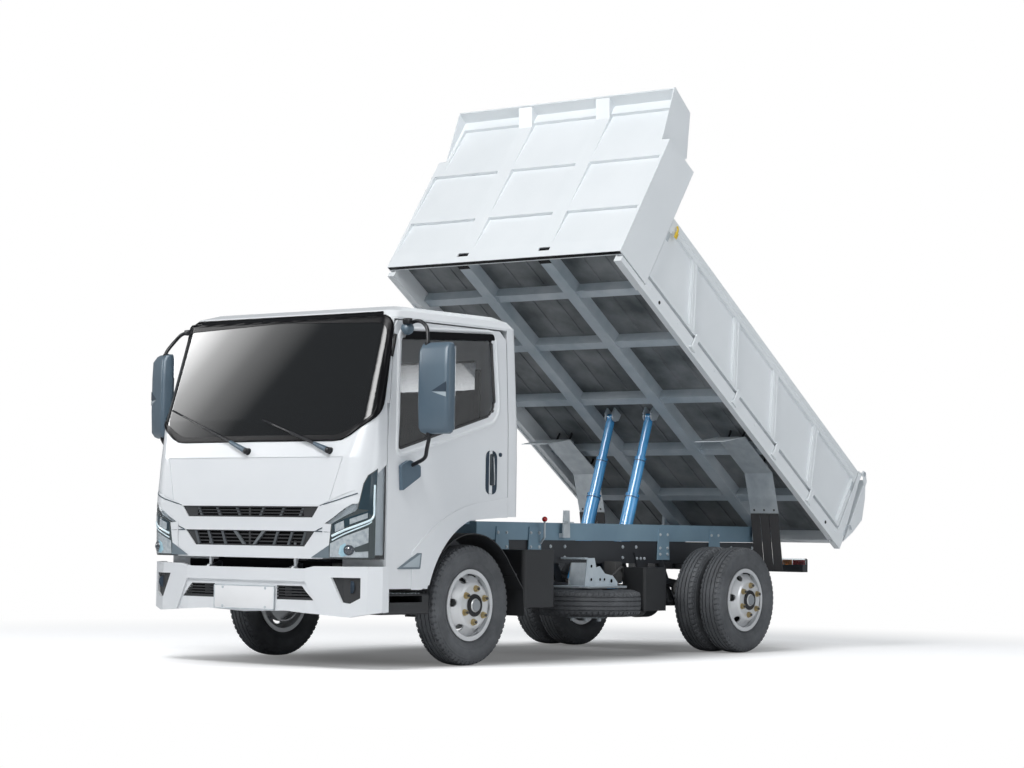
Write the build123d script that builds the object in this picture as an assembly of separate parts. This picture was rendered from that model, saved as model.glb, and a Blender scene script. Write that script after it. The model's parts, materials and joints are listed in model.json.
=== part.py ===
"""Light dump truck: cab-over chassis with a tipping bed, twin telescopic cylinders and drop sides.

Millimetres. +X is the truck's left side, +Y points to its rear and +Z up. The pieces are drawn in vehicle
coordinates, with y = 0 at the front axle and z = 0 on the ground, and are moved by ORIGIN_Y when they are
written, so that the origin is on the ground at the middle of the truck's box. The bed is drawn level in its
own coordinates (u back from its front edge, w up from the underside of its beams) and then tipped.
"""
from build123d import *
from functools import lru_cache
import math
import os

# ---------------------------------------------------------------- wheels and axles
WHEELBASE = 3030.0
TYRE_R = 375.0                   # 6.50R16
TYRE_W = 180.0
RIM_SEAT_R = 203.0
RIM_FLANGE_R = 222.0
FRONT_TYRE_X = 794.0             # centre plane of a front tyre
REAR_TYRE_XS = (836.0, 620.0)    # outer and inner centre planes of the twins
KINGPIN_X = 676.0
AXLE_Z = TYRE_R

# ---------------------------------------------------------------- frame and sub-frame
RAIL_OUT_X = 375.0               # outer face of a frame rail's web
RAIL_Z = (625.0, 780.0)
RAIL_FLANGE = 62.0
RAIL_T = 7.0
RAIL_Y = (-960.0, 4040.0)
SUB_Z = (782.0, 900.0)
SUB_X = (322.0, 382.0)
SUB_Y = (640.0, 3926.0)
SUB_END_R = 90.0                 # rounded rear end of the sub-frame, about the hinge
CLEVIS_YZ = (4080.0, 682.5)
SPARE_XYZ = (450.0, 1750.0, 360.0)
SPARE_TOP = 462.0                # carrier plate above the spare wheel

# ---------------------------------------------------------------- bed
TIP_DEG = 34.1                   # how far the bed is tipped at rest
HINGE_Y = 3926.0
HINGE_Z = 810.0
HINGE_U = 3227.0                 # the same hinge in the bed's coordinates
HINGE_W = -100.0
HINGE_PIN_R = 20.0
BED_LEN = 3422.0
BED_HALF = 1027.6
FLOOR_W = (86.0, 98.0)
FLOOR_HALF = 978.0
HEAD_T = 40.0                    # thickness of the headboard
BEAM_X = (310.0, 405.0)
SIDE_U = (358.0, 3312.0)
SIDE_W = (78.0, 580.0)
RETURN_U = 350.0                 # length of the headboard's side returns
RETURN_TOP = 990.0
SIDE_PIN = (1036.0, -24.0)       # x, w of the drop sides' hinge line
SIDE_PIN_R = 5.0
GATE_PIN = (3372.0, 600.0)       # u, w of the tailgate's upper hinge line
GATE_PIN_R = 9.0
GATE_OUTLINE = ((3428.0, 24.0), (3502.0, 160.0), (3558.0, 309.0), (3500.0, 470.0), (3428.0, 586.0))
GATE_HOLLOW = ((3427.0, 40.0), (3480.0, 160.0), (3536.0, 309.0), (3478.0, 470.0), (3427.0, 570.0))

# ---------------------------------------------------------------- cab
CAB_HALF = 900.0
CAB_REAR_R = 45.0
CAB_WALL = 34.0
CAB_PIVOT = (-1050.0, 585.0)     # y, z of the axis on which the cab tilts forward
DOOR_PIN = (886.0, -822.0)       # x, y of the doors' hinge line
PANEL_Y = -842.0                 # where the front panel ends and the doors begin
PILLAR_Y = 317.0                 # where the doors end
TUNNEL_X = 560.0                 # half width of the engine tunnel
TUNNEL_TOP = 860.0
HEADER_Z = 2104.0                # lower edge of the roof panel
BELT_Z = 1500.0                  # where the doors' window frames begin

# Plan sections of the cab from below upwards: z, front y, rear y, half width, radius of the front corners.
CAB_SECTIONS = (
    (380.0, -1060.0, 430.0, 892.0, 150.0),
    (640.0, -1078.0, 430.0, 897.0, 155.0),
    (980.0, -1086.0, 430.0, 900.0, 160.0),
    (1262.0, -1052.0, 430.0, 900.0, 150.0),
    (1360.0, -1022.0, 430.0, 898.0, 120.0),
    (1500.0, -980.0, 430.0, 897.0, 75.0),
    (2118.0, -792.0, 415.0, 872.0, 70.0),
    (2160.0, -745.0, 380.0, 842.0, 70.0),
    (2192.0, -640.0, 320.0, 770.0, 70.0),
    (2203.0, -420.0, 200.0, 640.0, 70.0),
)

# Front bumper in plan, from the middle outwards: x, y.
BUMPER_PLAN = ((0.0, -1118.0), (500.0, -1108.0), (760.0, -1062.0), (895.0, -990.0), (952.0, -920.0), (956.0, -872.0))
BUMPER_T = 28.0

# ---------------------------------------------------------------- lift cylinders
CYL_X = 172.0
CYL_TOP_UW = (1853.0, 27.0)
CYL_BOTTOM = (2434.0, 460.0)     # y, z of the lower pins
STAGE_R = (60.0, 48.0, 40.0, 32.0)
STAGE_L = 374.0
RING_H = 6.0                     # collar at the top of a stage
EYE_R = 26.0
CYL_PIN_R = 17.0
CLEVIS_PIN_R = 14.0

FIT = 0.06                       # radial running clearance
GAP = 7.0                        # gap around a door
EDGE_SWEEP_R = 20.5              # room that a door's front edge needs round its pin
EDGE_Z = (1400.0, 1590.0)        # where the pillar leans back into that room


def tipped(u, w):
    """Vehicle y, z of a point given in the bed's coordinates."""
    a = math.radians(TIP_DEG)
    du, dw = u - HINGE_U, w - HINGE_W
    return (HINGE_Y + du * math.cos(a) + dw * math.sin(a),
            HINGE_Z - du * math.sin(a) + dw * math.cos(a))


NOSE_Y = BUMPER_PLAN[0][1]
TAIL_Y = max(tipped(u, w)[0] for u, w in GATE_OUTLINE)
ORIGIN_Y = -(NOSE_Y + TAIL_Y) / 2


# ---------------------------------------------------------------- helpers
def box(x, y, z):
    """Box from three (low, high) pairs."""
    return Pos((x[0] + x[1]) / 2, (y[0] + y[1]) / 2, (z[0] + z[1]) / 2) * \
        Box(abs(x[1] - x[0]), abs(y[1] - y[0]), abs(z[1] - z[0]))


def rod(p, q, r):
    """Round bar from p to q."""
    axis = Vector(*q) - Vector(*p)
    return Solid.make_cylinder(r, axis.length, Plane(origin=p, z_dir=axis))


def bent_bar(points, r):
    """Round bar through several points, with a ball at each bend."""
    bar = rod(points[0], points[1], r)
    for p, q in zip(points[1:], points[2:]):
        bar += rod(p, q, r) + Pos(*p) * Sphere(r)
    return bar


def side_poly(points, x):
    """Outline in y, z extruded from x[0] to x[1]."""
    face = make_face(Plane.YZ * Polyline(*points, close=True))
    return Pos(x[0], 0, 0) * extrude(face, amount=x[1] - x[0], dir=(1, 0, 0))


def front_poly(points, y):
    """Outline in x, z extruded from y[0] to y[1]."""
    face = make_face(Polyline(*[Vector(a, 0, b) for a, b in points], close=True))
    return Pos(0, y[0], 0) * extrude(face, amount=y[1] - y[0], dir=(0, 1, 0))


def plan_poly(points, z):
    """Outline in x, y extruded from z[0] to z[1]."""
    face = make_face(Polyline(*points, close=True))
    return Pos(0, 0, z[0]) * extrude(face, amount=z[1] - z[0], dir=(0, 0, 1))


def two_sided(points):
    """Outline whose left half is given from the middle outwards, closed by its mirror image."""
    return [*points, *[(-a, b) for a, b in reversed(points) if a]]


def mirrored(shape):
    """The same piece on the truck's right side."""
    return mirror(shape, about=Plane.YZ)


def both(shape):
    """A left piece and its right twin."""
    return [shape, mirrored(shape)]


def spun(profile, x):
    """Profile in (x, r) points or edges turned about the X axis through (x, 0, 0)."""
    return Pos(x, 0, 0) * revolve(make_face(profile), axis=Axis.X)


def bed(shape):
    """Moves a piece from the bed's coordinates to its tipped place."""
    return Pos(0, HINGE_Y, HINGE_Z) * Rot(-TIP_DEG, 0, 0) * Pos(0, -HINGE_U, -HINGE_W) * shape


def save(name, *shapes):
    """Writes one node from its solids."""
    solids = []
    for shape in shapes:
        for piece in shape if isinstance(shape, list) else [shape]:
            solids += piece.solids()
    whole = solids[0] if len(solids) == 1 else Compound(children=solids)
    export_step(Pos(0, ORIGIN_Y, 0) * whole, "parts/" + name + ".step")


# ---------------------------------------------------------------- wheels
HOLES = 6
HOLE_R = 166.0
HOLE_SIZE = (52.0, 36.0)         # along and across the rim
HOLE_ANGLE = 24.0
NUT_R = 104.0
HUB_R = 62.0
DISC_T = 9.0
# Outer side of the wheel's disc from the rim inwards: distance from the tyre's centre plane, radius.
DISC = ((35.0, 196.0), (70.0, 165.0), (96.0, 142.0), (105.0, 128.0), (105.0, 69.0))
FACE = DISC[-1][0]


def tyre(x):
    """One tyre: straight beads, round sidewalls and a slightly crowned tread."""
    bead, belly, shoulder = TYRE_W / 2 - 28, TYRE_W / 2, TYRE_W / 2 - 14
    low = RIM_SEAT_R + 0.5
    rows = [
        Line((-bead, low), (bead, low)),
        Line((bead, low), (bead, 226)),
        ThreePointArc((bead, 226), (belly, 290), (shoulder, 355)),
        ThreePointArc((shoulder, 355), (shoulder - 4, 366), (shoulder - 14, 371)),
        ThreePointArc((shoulder - 14, 371), (0, TYRE_R), (14 - shoulder, 371)),
        ThreePointArc((14 - shoulder, 371), (4 - shoulder, 366), (-shoulder, 355)),
        ThreePointArc((-shoulder, 355), (-belly, 290), (-bead, 226)),
        Line((-bead, 226), (-bead, low)),
    ]
    return spun(Wire(rows), x)


def rim(x):
    """Steel wheel of a left tyre: rim barrel, domed disc with six slots, and nuts."""
    seat, edge = TYRE_W / 2 - 27, TYRE_W / 2 - 20
    in_r = RIM_SEAT_R - 8
    wheel = spun(Polyline((-edge, RIM_FLANGE_R), (-seat, RIM_FLANGE_R), (-seat, RIM_SEAT_R), (seat, RIM_SEAT_R),
                          (seat, RIM_FLANGE_R), (edge, RIM_FLANGE_R), (edge, in_r), (-edge, in_r), close=True), x)
    back = [(a - DISC_T, r - 2) for a, r in reversed(DISC[:-1])]
    disc = spun(Polyline(*DISC, (FACE - DISC_T, DISC[-1][1]), *back, close=True), x)
    for k in range(HOLES):
        turn = Rot(HOLE_ANGLE + 360 / HOLES * k, 0, 0)
        slot = Ellipse(HOLE_SIZE[1] / 2, HOLE_SIZE[0] / 2)
        disc -= turn * Pos(x, 0, HOLE_R) * Rot(0, 90, 0) * extrude(slot, amount=150, both=True)
        half = Rot(HOLE_ANGLE + 360 / HOLES * (k + 0.5), 0, 0)
        disc += half * Pos(x + FACE - 1, 0, NUT_R) * Rot(0, 90, 0) * extrude(RegularPolygon(16, 6), amount=22)
    return wheel + disc


def hub(x0, face, bore, bore_x):
    """Hub turned about X: bored barrel, flange behind the wheel's disc, and end cap."""
    back = face - DISC_T
    outline = [(x0, bore + FIT), (x0, HUB_R), (back - 13, HUB_R), (back - 13, 118), (back, 118), (back, HUB_R),
               (face + 6, HUB_R), (face + 6, 44), (face + 15, 38), (face + 15, 0), (bore_x, 0), (bore_x, bore + FIT)]
    return spun(Polyline(*outline, close=True), 0)


def drum(x0, x1, r):
    """Brake drum turned about X, open towards the axle."""
    inner = HUB_R - 1
    return spun(Polyline((x0, r), (x1, r), (x1, inner), (x1 - 8, inner), (x1 - 8, r - 9), (x0, r - 9), close=True), 0)


def wheels():
    """Tyres and rims of all four wheel positions."""
    front = Pos(0, 0, AXLE_Z)
    rear = Pos(0, WHEELBASE, AXLE_Z)
    t = front * tyre(FRONT_TYRE_X)
    r = front * (rim(FRONT_TYRE_X) + hub(748, FRONT_TYRE_X + FACE, 30, 854) + drum(716, 764, 150))
    save("tyre_front_left", t)
    save("tyre_front_right", mirrored(t))
    save("rim_front_left", r)
    save("rim_front_right", mirrored(r))
    outer, inner = REAR_TYRE_XS
    t = [rear * tyre(x) for x in REAR_TYRE_XS]
    r = rear * (rim(outer) + rim(inner) + hub(600, outer + FACE, 45, 864) + drum(530, 618, 158))
    save("tyres_rear_left", t)
    save("tyres_rear_right", [mirrored(s) for s in t])
    save("rims_rear_left", r)
    save("rims_rear_right", mirrored(r))


# ---------------------------------------------------------------- axles
def front_axle():
    """Forged I beam with kingpin bosses, and the two knuckles."""
    low, high = 300, 358
    beam = box((-560, 560), (-32, 32), (low, high))
    for s in (1, -1):
        beam -= box((-520, 520), (s * 12, s * 40), (low + 14, high - 14))
        beam += rod((s * 545, 0, 330), (s * 652, 0, AXLE_Z), 26)
        beam += Pos(s * KINGPIN_X, 0, AXLE_Z) * Cylinder(30, 64)
        beam += rod((s * KINGPIN_X, 0, AXLE_Z - 60), (s * KINGPIN_X, 0, AXLE_Z + 60), 14)
        beam += box((s * 390, s * 450), (-55, 55), (high - 1, 371))
    save("front_axle_beam", beam)
    kp = KINGPIN_X
    knuckle = box((kp - 30, kp + 38), (-30, 30), (AXLE_Z - 60, AXLE_Z + 60))
    knuckle -= box((kp - 31, kp + 31), (-31, 31), (AXLE_Z - 37, AXLE_Z + 37))
    knuckle -= Pos(kp, 0, AXLE_Z) * Cylinder(14 + FIT, 200)
    knuckle += rod((kp + 38, 0, AXLE_Z), (850, 0, AXLE_Z), 30)
    knuckle += rod((kp - 10, 28, AXLE_Z - 50), (kp - 45, 170, AXLE_Z - 50), 11)
    save("knuckle_left", knuckle)
    save("knuckle_right", mirrored(knuckle))


def rear_axle():
    """Banjo housing with its cover, pinion nose and the two-piece shaft to the gearbox."""
    centre = Pos(0, WHEELBASE, AXLE_Z)
    tube = centre * spun(Polyline((-860, 0), (-860, 45), (-520, 45), (-430, 54), (-170, 62), (170, 62), (430, 54),
                                  (520, 45), (860, 45), (860, 0), close=True), 0)
    banjo = rod((0, WHEELBASE - 80, AXLE_Z), (0, WHEELBASE + 50, AXLE_Z), 150)
    cover = Pos(0, WHEELBASE + 95, AXLE_Z) * Rot(-90, 0, 0) * Cone(148, 80, 90)
    nose = rod((0, WHEELBASE - 240, AXLE_Z + 12), (0, WHEELBASE - 70, AXLE_Z), 58)
    housing = tube + banjo + cover + nose
    for s in (1, -1):
        housing += box((s * 390, s * 450), (WHEELBASE - 60, WHEELBASE + 60), (AXLE_Z + 40, 431))
    save("rear_axle_housing", housing)
    shaft = bent_bar([(0, 560, 560), (0, 1480, 500), (0, WHEELBASE - 241, AXLE_Z + 13)], 34)
    save("propshaft", shaft + box((-110, 110), (1462, 1498), (540, 600)) + box((-40, 40), (1462, 1498), (480, 541)))


def spring(y, eye_z, seat_z, half, leaves):
    """Half-elliptic leaf pack: arcs whose length shortens downwards, with eyes at both ends."""
    pack = None
    for k in range(leaves):
        reach = half - 75 * k
        sag = (eye_z - seat_z) * (reach / half) ** 2
        low = seat_z + 11 * (leaves - 1 - k)
        rows = [ThreePointArc((y - reach, low + sag), (y, low), (y + reach, low + sag)),
                Line((y + reach, low + sag), (y + reach, low + sag + 10)),
                ThreePointArc((y + reach, low + sag + 10), (y, low + 11.2), (y - reach, low + sag + 10)),
                Line((y - reach, low + sag + 10), (y - reach, low + sag))]
        leaf = extrude(Plane.YZ * make_face(Wire(rows)), amount=60, dir=(1, 0, 0))
        pack = leaf if pack is None else pack + leaf
    top = seat_z + 11 * (leaves - 1)
    for end in (y - half, y + half):
        pack += rod((0, end, eye_z + top - seat_z + 5), (60, end, eye_z + top - seat_z + 5), 20)
    pack += box((-8, 68), (y - 50, y + 50), (seat_z - 1, top + 26))
    return Pos(390, 0, 0) * pack


def springs():
    """Leaf springs of both axles."""
    save("leaf_springs", both(spring(0, 460, 372, 540, 4)), both(spring(WHEELBASE, 520, 432, 560, 6)))


# ---------------------------------------------------------------- frame
MEMBER_YS = (-880.0, 640.0, 1520.0, 3560.0, 3990.0)
MOUNT_Y = 2350.0                 # cross member that carries the lift cylinders
SUB_MEMBER_YS = (700.0, 1600.0, 2900.0, 3820.0)


def rails():
    """Channel rails with spring hangers, cross members, tow clevis, and the cab's and bumper's brackets."""
    left = box((RAIL_OUT_X - RAIL_T, RAIL_OUT_X), RAIL_Y, RAIL_Z)
    for z0, z1 in ((RAIL_Z[1] - RAIL_T, RAIL_Z[1]), (RAIL_Z[0], RAIL_Z[0] + RAIL_T)):
        left += box((RAIL_OUT_X - RAIL_FLANGE, RAIL_OUT_X), RAIL_Y, (z0, z1))
    for y in (-540, 540, WHEELBASE - 560, WHEELBASE + 560):
        eye_z = 498 if y < 1000 else 580
        left += side_poly([(y - 70, 700), (y + 70, 700), (y + 26, eye_z - 24), (y - 26, eye_z - 24)],
                          (RAIL_OUT_X - 1, RAIL_OUT_X + 12))
    save("frame_rails", both(left))
    inner = RAIL_OUT_X - RAIL_T
    members = []
    for y in (*MEMBER_YS, MOUNT_Y):
        member = box((-inner, inner), (y - 35, y + 35), (RAIL_Z[0] + 20, RAIL_Z[1] - 20))
        members.append(member - box((-inner + 40, inner - 40), (y - 28, y + 60), (RAIL_Z[0] + 27, RAIL_Z[1] - 27)))
    y, z = CYL_BOTTOM
    for s in (1, -1):
        members[-1] += rod((s * 85, y, z), (s * 310, y, z), CYL_PIN_R)
        for x in (85, 298):
            members[-1] += side_poly([(MOUNT_Y - 32, 660), (MOUNT_Y + 34, 660), (y + 32, z + 26), (y + 32, z - 32),
                                      (y - 32, z - 32)], (s * x, s * (x + 12)))
    hitch = box((-60, 60), (4010, 4040), (630, 735))
    y, z = CLEVIS_YZ
    for z0 in (640, 700):
        hitch += box((-45, 45), (4039, y), (z0, z0 + 25)) + Pos(0, y, z0 + 12.5) * Cylinder(45, 25)
    hitch -= Pos(0, y, z) * Cylinder(16, 200)
    py, pz = CAB_PIVOT
    brackets = []
    for s in (1, -1):
        arm = side_poly([(-960, 640), (-960, 560), (py, pz - 22), (py, pz + 22)], (s * 325, s * 345))
        arm += rod((s * 325, py, pz), (s * 345, py, pz), 22) + rod((s * 300, py, pz), (s * 400, py, pz), CLEVIS_PIN_R)
        arm += box((s * 313, s * 368), (-985, -925), (430, 625)) + box((s * 313, s * 368), (-1080, -962), (430, 540))
        brackets.append(arm)
    save("frame_crossmembers", members, hitch, brackets)


def subframe():
    """Box-section sub-frame with cross members, hinge plates, posts and the pump lever."""
    parts = []
    for s in (1, -1):
        one = box((s * SUB_X[0], s * SUB_X[1]), SUB_Y, SUB_Z)
        end = rod((s * SUB_X[0], HINGE_Y, HINGE_Z), (s * SUB_X[1], HINGE_Y, HINGE_Z), SUB_END_R)
        one += end & box((-500, 500), (HINGE_Y - 1, HINGE_Y + 200), SUB_Z)
        one += rod((s * SUB_X[0], HINGE_Y, HINGE_Z), (s * 448, HINGE_Y, HINGE_Z), HINGE_PIN_R)
        for y in (900, 1250, 2750, 3400):
            one += side_poly([(y - 75, 650), (y + 75, 650), (y + 60, 870), (y - 60, 870)],
                             (s * (SUB_X[1] - 1), s * (SUB_X[1] + 8)))
        parts.append(one)
    for y in SUB_MEMBER_YS:
        parts.append(box((-SUB_X[0], SUB_X[0]), (y - 30, y + 30), (SUB_Z[0] + 10, SUB_Z[1] - 20)))
    save("subframe", parts)
    guides = []
    for s in (1, -1):
        post = side_poly([(1520, 800), (1600, 800), (1590, 985), (1530, 985)], (s * 411, s * 421))
        foot = box((s * (SUB_X[1] + 1), s * 421), (1525, 1595), (800, 830))
        guides.append(post + foot + box((s * 411, s * 455), (1525, 1595), (900, 908)))
    lever_x = 432
    lever = bent_bar([(400, 1300, 760), (lever_x, 1300, 800), (lever_x, 1300, 912)], 7)
    lever += Pos(lever_x, 1300, 922) * Sphere(17)
    save("bed_guides", guides, lever)


def hung_parts():
    """What hangs on the frame: engine, tank, boxes, exhaust and spare wheel."""
    save("engine_block", box((-230, 230), (-380, 420), (420, 840)))
    tank = box((-770, -450), (1050, 1750), (380, 640))
    tank = fillet(tank.edges().filter_by(Axis.Y), 45)
    for y in (1180, 1600):
        tank += box((-774, -RAIL_OUT_X - 1), (y - 20, y + 20), (376, 644))
    save("fuel_tank", tank)
    battery = fillet(box((450, 640), (2170, 2440), (300, 600)).edges().filter_by(Axis.Z), 18)
    tray = box((RAIL_OUT_X + 1, 450), (2200, 2410), (560, 600))
    filter_box = fillet(box((500, 800), (620, 950), (350, 720)).edges().filter_by(Axis.Z), 30)
    save("side_boxes", battery + tray, filter_box + box((RAIL_OUT_X + 1, 500), (730, 815), (640, 700)))
    muffler = rod((-250, 700, 450), (-250, 1350, 450), 90)
    pipe = bent_bar([(-250, 440, 500), (-250, 600, 450), (-250, 1500, 450), (-250, 1900, 430)], 28)
    save("exhaust", muffler + pipe)
    x, y, z = SPARE_XYZ
    turn = Pos(x, y, z) * Rot(0, 90, 0)
    save("spare_tyre", turn * tyre(0))
    plate = box((x - 150, x + 190), (y - 230, y + 210), (SPARE_TOP, SPARE_TOP + 8))
    plate += side_poly([(y - 120, SPARE_TOP), (y + 120, SPARE_TOP), (y + 90, 630), (y - 90, 630)], (x - 68, x - 60))
    save("spare_carrier", turn * rim(0), plate)


def rear_lamps():
    """Rear lamp bar bolted under the rails, with its end brackets and lamp cases."""
    parts = []
    for s in (1, -1):
        parts.append(box((s * 385, s * 800), (3962, 4030), (567, 620)))
    centre = box((-385, 385), (3985, 4030), (567, 620))
    bar = parts[0] + parts[1] + centre
    save("rear_lamp_bar", bar)
    lamps = []
    for s in (1, -1):
        lamps.append(fillet(box((s * 470, s * 780), (4030, 4062), (572, 668)).edges().filter_by(Axis.Y), 14))
    save("rear_lamps", lamps)


# ---------------------------------------------------------------- bumper, steps and mudguards
FOG_POCKET = ((679.0, 547.0), (857.0, 547.0), (857.0, 428.0), (800.0, 393.0), (756.0, 401.0))
LOW_GRILLE = ((262.0, 492.0), (466.0, 492.0), (552.0, 408.0), (262.0, 408.0))
ARCH_R = 446.0


def bumper_form(inset):
    """Bumper's bar between its outer plan line, moved in by inset, and the cab."""
    line = [(x, y + inset) if x < 900 else (x - inset, y + inset * 0.3) for x, y in BUMPER_PLAN]
    return plan_poly(two_sided([*line, (line[-1][0], -700.0)]), (290, 640)) - box((-700, 700), (-1040, -600), (0, 900))


def front_bumper():
    """Bumper shell with a stepped lower middle, pockets for the fog lamps and two air slots."""
    outline = [(0, 596), (488, 596), (560, 611), (957, 615), (957, 346), (800, 314), (330, 342), (0, 329)]
    face = front_poly(two_sided(outline), (-1200, -868))
    shell = (bumper_form(0) & face) - bumper_form(BUMPER_T)
    middle = front_poly(two_sided([(0, 520), (500, 520), (620, 300), (0, 300)]), (-1200, -900))
    shell -= (bumper_form(-1) & middle) - bumper_form(12)
    holes = None
    for outline in (FOG_POCKET, LOW_GRILLE):
        for hole in both(front_poly(outline, (-1200, -900))):
            holes = hole if holes is None else holes + hole
    shell -= holes
    save("front_bumper", shell)
    back = (bumper_form(16) & holes) - bumper_form(26)
    for z in (424, 441, 458, 475):
        back -= box((-560, 560), (-1200, -900), (z, z + 9))
    save("bumper_inserts", back)


def steps_and_guards():
    """Cab steps with treads, and front mudguards with their stays."""
    guards = []
    for s in (1, -1):
        step = fillet(box((640, 900), (-850, -440), (327, 453)).edges().filter_by(Axis.Y), 20)
        step -= box((660, 905), (-800, -500), (400, 440))
        step += box((RAIL_OUT_X + 1, 550), (-700, -620), (640, 655)) + box((538, 550), (-700, -620), (420, 655))
        step += box((538, 650), (-700, -620), (420, 440))
        outer, inner = ARCH_R, ARCH_R - 6
        a0, a1 = math.radians(132), math.radians(35)
        mid = math.radians(83)
        at = [[(r * math.cos(a), AXLE_Z + r * math.sin(a)) for a in (a0, mid, a1)] for r in (outer, inner)]
        flap = [(505, 470), (520, 300)]
        rows = [ThreePointArc(*at[0]), Line(at[0][2], flap[0]), Line(flap[0], flap[1]),
                Line(flap[1], (flap[1][0] - 6, 300)), Line((flap[1][0] - 6, 300), (flap[0][0] - 6, 468)),
                Line((flap[0][0] - 6, 468), at[1][2]), ThreePointArc(*reversed(at[1])), Line(at[1][0], at[0][0])]
        guard = Pos(585, 0, 0) * extrude(Plane.YZ * make_face(Wire(rows)), amount=303, dir=(1, 0, 0))
        stay = bent_bar([(RAIL_OUT_X + 1, 440, 700), (560, 440, 700), (620, 432, 560), (880, 432, 560)], 12)
        guards += [g if s > 0 else mirrored(g) for g in (guard + stay, step)]
    save("steps_and_mudguards", *guards)


# ---------------------------------------------------------------- cab
SCREEN = ((0.0, 1362.0), (702.0, 1362.0), (882.0, 1508.0), (886.0, 1867.0), (856.0, 2112.0), (0.0, 2112.0))
SCREEN_HOLE = ((0.0, 1408.0), (655.0, 1408.0), (800.0, 1532.0), (806.0, 1860.0), (786.0, 2066.0), (0.0, 2066.0))
SCREEN_SIDE = ((-1300.0, 1300.0), (-966.0, 1300.0), (-912.0, 1511.0), (-838.0, 1867.0), (-768.0, 2104.0),
               (-760.0, 2125.0), (-1300.0, 2125.0))
FRONT_SIDE = ((-1300.0, 0.0), (PANEL_Y, 0.0), (PANEL_Y, 1360.0), (-769.0, 2055.0), (-752.0, 2125.0), (-1300.0, 2125.0))
DOOR_SIDE = ((-835.0, 100.0), (-835.0, 1360.0), (-762.0, 2050.0), (-740.0, 2095.0), (243.0, 2095.0), (306.0, 2040.0),
             (310.0, 937.0), (200.0, 100.0))
WINDOW = ((-738.0, 1318.0), (-702.0, 1992.0), (160.0, 2040.0), (183.0, 1614.0), (140.0, 1560.0))
UPPER_GRILLE = ((0.0, 967.0), (578.0, 967.0), (527.0, 901.0), (0.0, 901.0))
LOWER_GRILLE = ((0.0, 820.0), (548.0, 820.0), (463.0, 727.0), (0.0, 727.0))
LAMP_FRONT = ((612.0, 648.0), (612.0, 858.0), (700.0, 905.0), (828.0, 985.0), (836.0, 1230.0), (915.0, 1230.0),
              (915.0, 648.0))
LAMP_SIDE = ((PANEL_Y - 4, 648.0), (PANEL_Y - 4, 1219.0), (-996.0, 1114.0), (-1018.0, 1037.0), (-1040.0, 985.0),
             (-1200.0, 985.0), (-1200.0, 648.0))


def cab_ring(z, front, rear, half, corner):
    """Plan of the cab at one height, as a closed wire."""
    q, k = CAB_REAR_R, 1 - math.sqrt(0.5)
    p = [(half - corner, front), (half, front + corner), (half, rear - q), (half - q, rear)]
    mids = [(half - k * corner, front + k * corner), (half - k * q, rear - k * q)]
    up = [Vector(x, y, z) for x, y in p]
    um = [Vector(x, y, z) for x, y in mids]
    vp = [Vector(-x, y, z) for x, y in p]
    vm = [Vector(-x, y, z) for x, y in mids]
    return Wire([Line(vp[0], up[0]), ThreePointArc(up[0], um[0], up[1]), Line(up[1], up[2]),
                 ThreePointArc(up[2], um[1], up[3]), Line(up[3], vp[3]), ThreePointArc(vp[3], vm[1], vp[2]),
                 Line(vp[2], vp[1]), ThreePointArc(vp[1], vm[0], vp[0])])


@lru_cache(maxsize=None)
def cab_form(inset):
    """Outer form of the cab moved in by inset: lofted plan sections, cut below by sill, arch and tunnel."""
    i = inset
    rings = []
    for z, front, rear, half, corner in CAB_SECTIONS:
        drop = i if z > HEADER_Z else 0
        rings.append(cab_ring(z - drop, front + i, rear - i, half - i, corner - i))
    body = Solid.make_loft(rings, True)
    sill, low = 480 + i, 655 + i
    arch = ((-446 - i, sill), (-262 - 0.7 * i, 783 + 0.7 * i), (-60, 905 + i))
    rows = [Line((-1300, 100), (-1300, low)), Line((-1300, low), (-846 + i, low)), Line((-846 + i, low), (-846 + i, sill)),
            Line((-846 + i, sill), arch[0]), ThreePointArc(*arch), Line(arch[2], (240, 925 + i)),
            Line((240, 925 + i), (600, 928 + i)), Line((600, 928 + i), (600, 100)), Line((600, 100), (-1300, 100))]
    under = Pos(-1000, 0, 0) * extrude(Plane.YZ * make_face(Wire(rows)), amount=2000, dir=(1, 0, 0))
    tunnel = box((-TUNNEL_X - i, TUNNEL_X + i), (-1050 - i, 600), (100, TUNNEL_TOP + i))
    return body - under - tunnel


def skin(region, outside, inside):
    """The cab's wall within a region, between two insets of its form."""
    return (cab_form(outside) & region) - cab_form(inside)


def groove(a, b):
    """Thin bar across the cab's front from a to b (x, z), for a panel line."""
    (x0, z0), (x1, z1) = a, b
    n = math.hypot(x1 - x0, z1 - z0)
    dx, dz = 2.5 * (z1 - z0) / n, 2.5 * (x1 - x0) / n
    return front_poly([(x0 + dx, z0 - dz), (x1 + dx, z1 - dz), (x1 - dx, z1 + dz), (x0 - dx, z0 + dz)], (-1200, -850))


def door_zone(grow):
    """Space taken by the left door: the whole wall above the belt, and only its outer part above the sill."""
    rows = [(y - grow if y < 0 else y + grow, z + grow if z > BELT_Z else z) for y, z in DOOR_SIDE]
    whole, outer = [side_poly(rows, (x, CAB_HALF + 40)) for x in (CAB_HALF - 150, CAB_HALF - 41)]
    return outer + (whole & box((0, 1000), (-1000, 1000), (BELT_Z, 2300)))


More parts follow.
